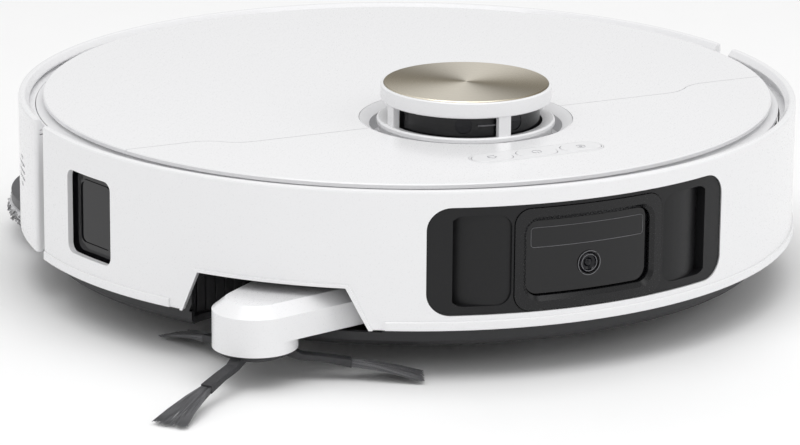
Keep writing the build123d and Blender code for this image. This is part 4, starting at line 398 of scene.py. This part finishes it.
def fringe_mesh(name, centre):
    """Loops of microfibre that stand out all round the pad's edge."""
    paths, radii = [], []
    for row, (height, count) in enumerate(FRINGE_ROWS):
        for step in range(count):
            shift = 0.5 * (row % 2)
            angle = 2 * math.pi * (step + shift + RNG.uniform(-0.25, 0.25)) / count
            out = Vector((math.cos(angle), math.sin(angle), 0))
            along = Vector((-out.y, out.x, 0))
            root = centre + out * FRINGE_ROOT + Vector((0, 0, height))
            reach = RNG.uniform(0.0024, 0.0034)
            droop = Vector((0, 0, -RNG.uniform(0.0002, 0.0009)))
            width = RNG.uniform(0.0007, 0.0012)
            lean = along * RNG.uniform(-0.0009, 0.0009)
            points = [
                root - along * width, root + out * reach * 0.6 - along * width + lean * 0.6,
                root + out * reach + lean + droop,
                root + out * reach * 0.6 + along * width + lean * 0.6, root + along * width,
            ]
            paths.append(points)
            radii.append([0.00055, 0.00062, 0.00065, 0.00062, 0.00055])
    return tubes(name, paths, radii, sides=5)


for side, centre in (("left", LEFT_MOP), ("right", RIGHT_MOP)):
    pad = add_piece(f"{side}_pad_cloth", pad_mesh(f"{side}_pad_cloth", centre),
                    MATERIALS["mop_fabric"], f"{side}_mop")
    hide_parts(f"{side}_mop_pad")
    add_piece(f"{side}_pad_fringe", fringe_mesh(f"{side}_pad_fringe", centre),
              MATERIALS["mop_fabric"], f"{side}_mop")


# ---------------------------------------------------------------- side brush bristles
BRUSH_PHASE = -144.0
TUFT_FILAMENTS = 260
TUFT_ROOT = 0.0380
ROOT_HALF_MM, TIP_HALF_MM = 2.0, 7.6      # half the tuft's width at its root and at its tip


def bristle_mesh(name):
    """Three tufts of nylon filaments, each flaring from its rubber arm to the floor."""
    paths, radii = [], []
    for tuft in range(3):
        turn = Matrix.Rotation(math.radians(BRUSH_PHASE + 120.0 * tuft), 3, "Z")
        for _ in range(TUFT_FILAMENTS):
            share = RNG.uniform(-1.0, 1.0)
            start = Vector((TUFT_ROOT, ROOT_HALF_MM * share / 1000, RNG.uniform(0.0056, 0.0082)))
            end = Vector((
                RNG.uniform(0.0675, 0.0705),
                TIP_HALF_MM * share / 1000 + RNG.uniform(-0.0004, 0.0004),
                RNG.uniform(0.0005, 0.0010),
            ))
            bow = Vector((0, 0, 0.0008))
            paths.append([
                BOSS + turn @ (start.lerp(end, t) + bow * math.sin(math.pi * t))
                for t in (0, 0.35, 0.7, 1.0)
            ])
            radii.append([0.00011, 0.00011, 0.00010, 0.00008])
    return tubes(name, paths, radii, sides=4)


bristles = add_piece("brush_filaments", bristle_mesh("brush_filaments"), MATERIALS["bristle"],
                     "side_brush")
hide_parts("side_brush_bristles")


# ---------------------------------------------------------------- marks on the window and rotor
GLASS_LINE = moulded("glass_line", (0.16, 0.16, 0.17), 0.3, vary=0.05)
RING_STEPS = 48


def on_glass(angle, height):
    """Point on the curved glass at an angle from the front, just proud of it."""
    turn = math.radians(angle)
    reach = GLASS_R + 0.00004
    return Vector((reach * math.sin(turn), -reach * math.cos(turn), height))


def glass_outline(name, half_angle, low, high, corner):
    """Thin rounded rectangle on the glass."""
    middle = (low + high) / 2
    half_x = GLASS_R * math.radians(half_angle)
    half_z = (high - low) / 2
    points = []
    for centre_x, centre_z, start in ((1, 1, 0), (-1, 1, 90), (-1, -1, 180), (1, -1, 270)):
        for step in range(7):
            turn = math.radians(start + 15 * step)
            across = centre_x * (half_x - corner) + corner * math.cos(turn)
            up = centre_z * (half_z - corner) + corner * math.sin(turn)
            points.append((across, up))
    points.append(points[0])
    dense = []
    for (x0, z0), (x1, z1) in zip(points, points[1:]):
        pieces = max(1, int(math.hypot(x1 - x0, z1 - z0) / 0.002))
        for step in range(pieces):
            dense.append((x0 + (x1 - x0) * step / pieces, z0 + (z1 - z0) * step / pieces))
    dense.append(points[0])
    path = [on_glass(math.degrees(x / GLASS_R), middle + z) for x, z in dense]
    add_piece(name, even_tube(name, path, 0.00013), GLASS_LINE, "chassis")


slot_turns = [math.radians(angle) for angle in range(-18, -3, 2)]
slot_path = [
    Vector((TURRET.x + EMITTER_R * math.sin(t), TURRET.y - EMITTER_R * math.cos(t), EMITTER_Z))
    for t in slot_turns
]
add_piece("rotor_slot", even_tube("rotor_slot", slot_path, 0.0004, sides=8), GLASS_LINE,
          "lidar_rotor")
glass_outline("glass_outline", 8.9, 0.0550, 0.0635, 0.0014)
for ring, radius in enumerate((0.0052, 0.0036)):
    turns = [2 * math.pi * step / RING_STEPS for step in range(RING_STEPS + 1)]
    path = [
        Vector((radius * math.cos(t), -GLASS_R - 0.0004, LENS_Z + radius * math.sin(t)))
        for t in turns
    ]
    add_piece(f"lens_ring_{ring}", even_tube(f"lens_ring_{ring}", path, 0.00018), GLASS_LINE,
              "chassis")

# ---------------------------------------------------------------- button icons
ICON = moulded("icon_grey", (0.42, 0.42, 0.44), 0.4, vary=0.02)


def icon(name, body, strokes, spot_x):
    """Thin raised strokes, given in millimetres, on a button; read from the machine's rear."""
    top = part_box(body)[1][2] + 0.00003
    paths = [
        [Vector((spot_x - x / 1000, BUTTON_Y - y / 1000, top)) for x, y in stroke]
        for stroke in strokes
    ]
    radii = [[0.00014] * len(path) for path in paths]
    add_piece(name, tubes(name, paths, radii, sides=6), ICON, body)


def arc(radius, start, end, steps=20):
    turns = [math.radians(start + (end - start) * i / steps) for i in range(steps + 1)]
    return [(radius * math.cos(t), radius * math.sin(t)) for t in turns]


ROOF = [(-2.2, 0.0), (0.0, 2.1), (2.2, 0.0)]
WALLS = [(-1.5, 0.4), (-1.5, -1.8), (1.5, -1.8), (1.5, 0.4)]
icon("icon_home", "button_home", [ROOF, WALLS], BUTTON_X[0])
icon("icon_power", "button_power", [arc(2.0, 120, 420), [(0.0, 0.6), (0.0, 2.5)]], BUTTON_X[1])
icon("icon_spot", "button_spot", [arc(2.0, 20, 320), arc(0.6, 0, 360, 12)], BUTTON_X[2])

# ---------------------------------------------------------------- studio
FLOOR_REACH = 12.0
WORLD_STRENGTH = 0.62
LIGHTS = (     # name, place, target, size, power
    ("key", (-0.9, -0.7, 1.6), (0, 0, 0.04), (1.2, 1.2), 4.2),
    ("fill", (1.3, -1.0, 0.9), (0, 0, 0.04), (1.4, 1.0), 3.0),
    ("top", (-0.1, -0.35, 2.0), (0, 0, 0.05), (2.0, 2.0), 19.0),
    ("edge", (0.9, -1.5, 0.25), (0.02, -0.17, 0.05), (0.35, 0.8), 0.8),
)


def area_light(name, place, target, size, power):
    data = bpy.data.lights.new(name, "AREA")
    data.shape = "RECTANGLE"
    data.size, data.size_y = size
    data.energy = power
    lamp = bpy.data.objects.new(name, data)
    bpy.context.scene.collection.objects.link(lamp)
    lamp.location = place
    lamp.rotation_euler = (Vector(target) - Vector(place)).to_track_quat("-Z", "Y").to_euler()


def studio():
    floor_mesh = bpy.data.meshes.new("floor")
    level = CAD_BOX[0][2] - 0.0003
    corners = [(FLOOR_REACH * x, FLOOR_REACH * y, level)
               for x, y in ((-1, -1), (1, -1), (1, 1), (-1, 1))]
    floor_mesh.from_pydata(corners, [], [(0, 1, 2, 3)])
    floor = bpy.data.objects.new("floor", floor_mesh)
    bpy.context.scene.collection.objects.link(floor)
    floor_mesh.materials.append(
        moulded("floor_white", (0.96, 0.96, 0.96), 0.75, 40.0, 0.00001, 0.05, vary=0.01))
    for light in LIGHTS:
        area_light(*light)
    world = bpy.data.worlds.new("world")
    world.use_nodes = True
    background = world.node_tree.nodes["Background"]
    background.inputs["Color"].default_value = (1, 1, 1, 1)
    background.inputs["Strength"].default_value = WORLD_STRENGTH
    bpy.context.scene.world = world
    bpy.context.scene.view_settings.view_transform = "Standard"


place_camera()
studio()
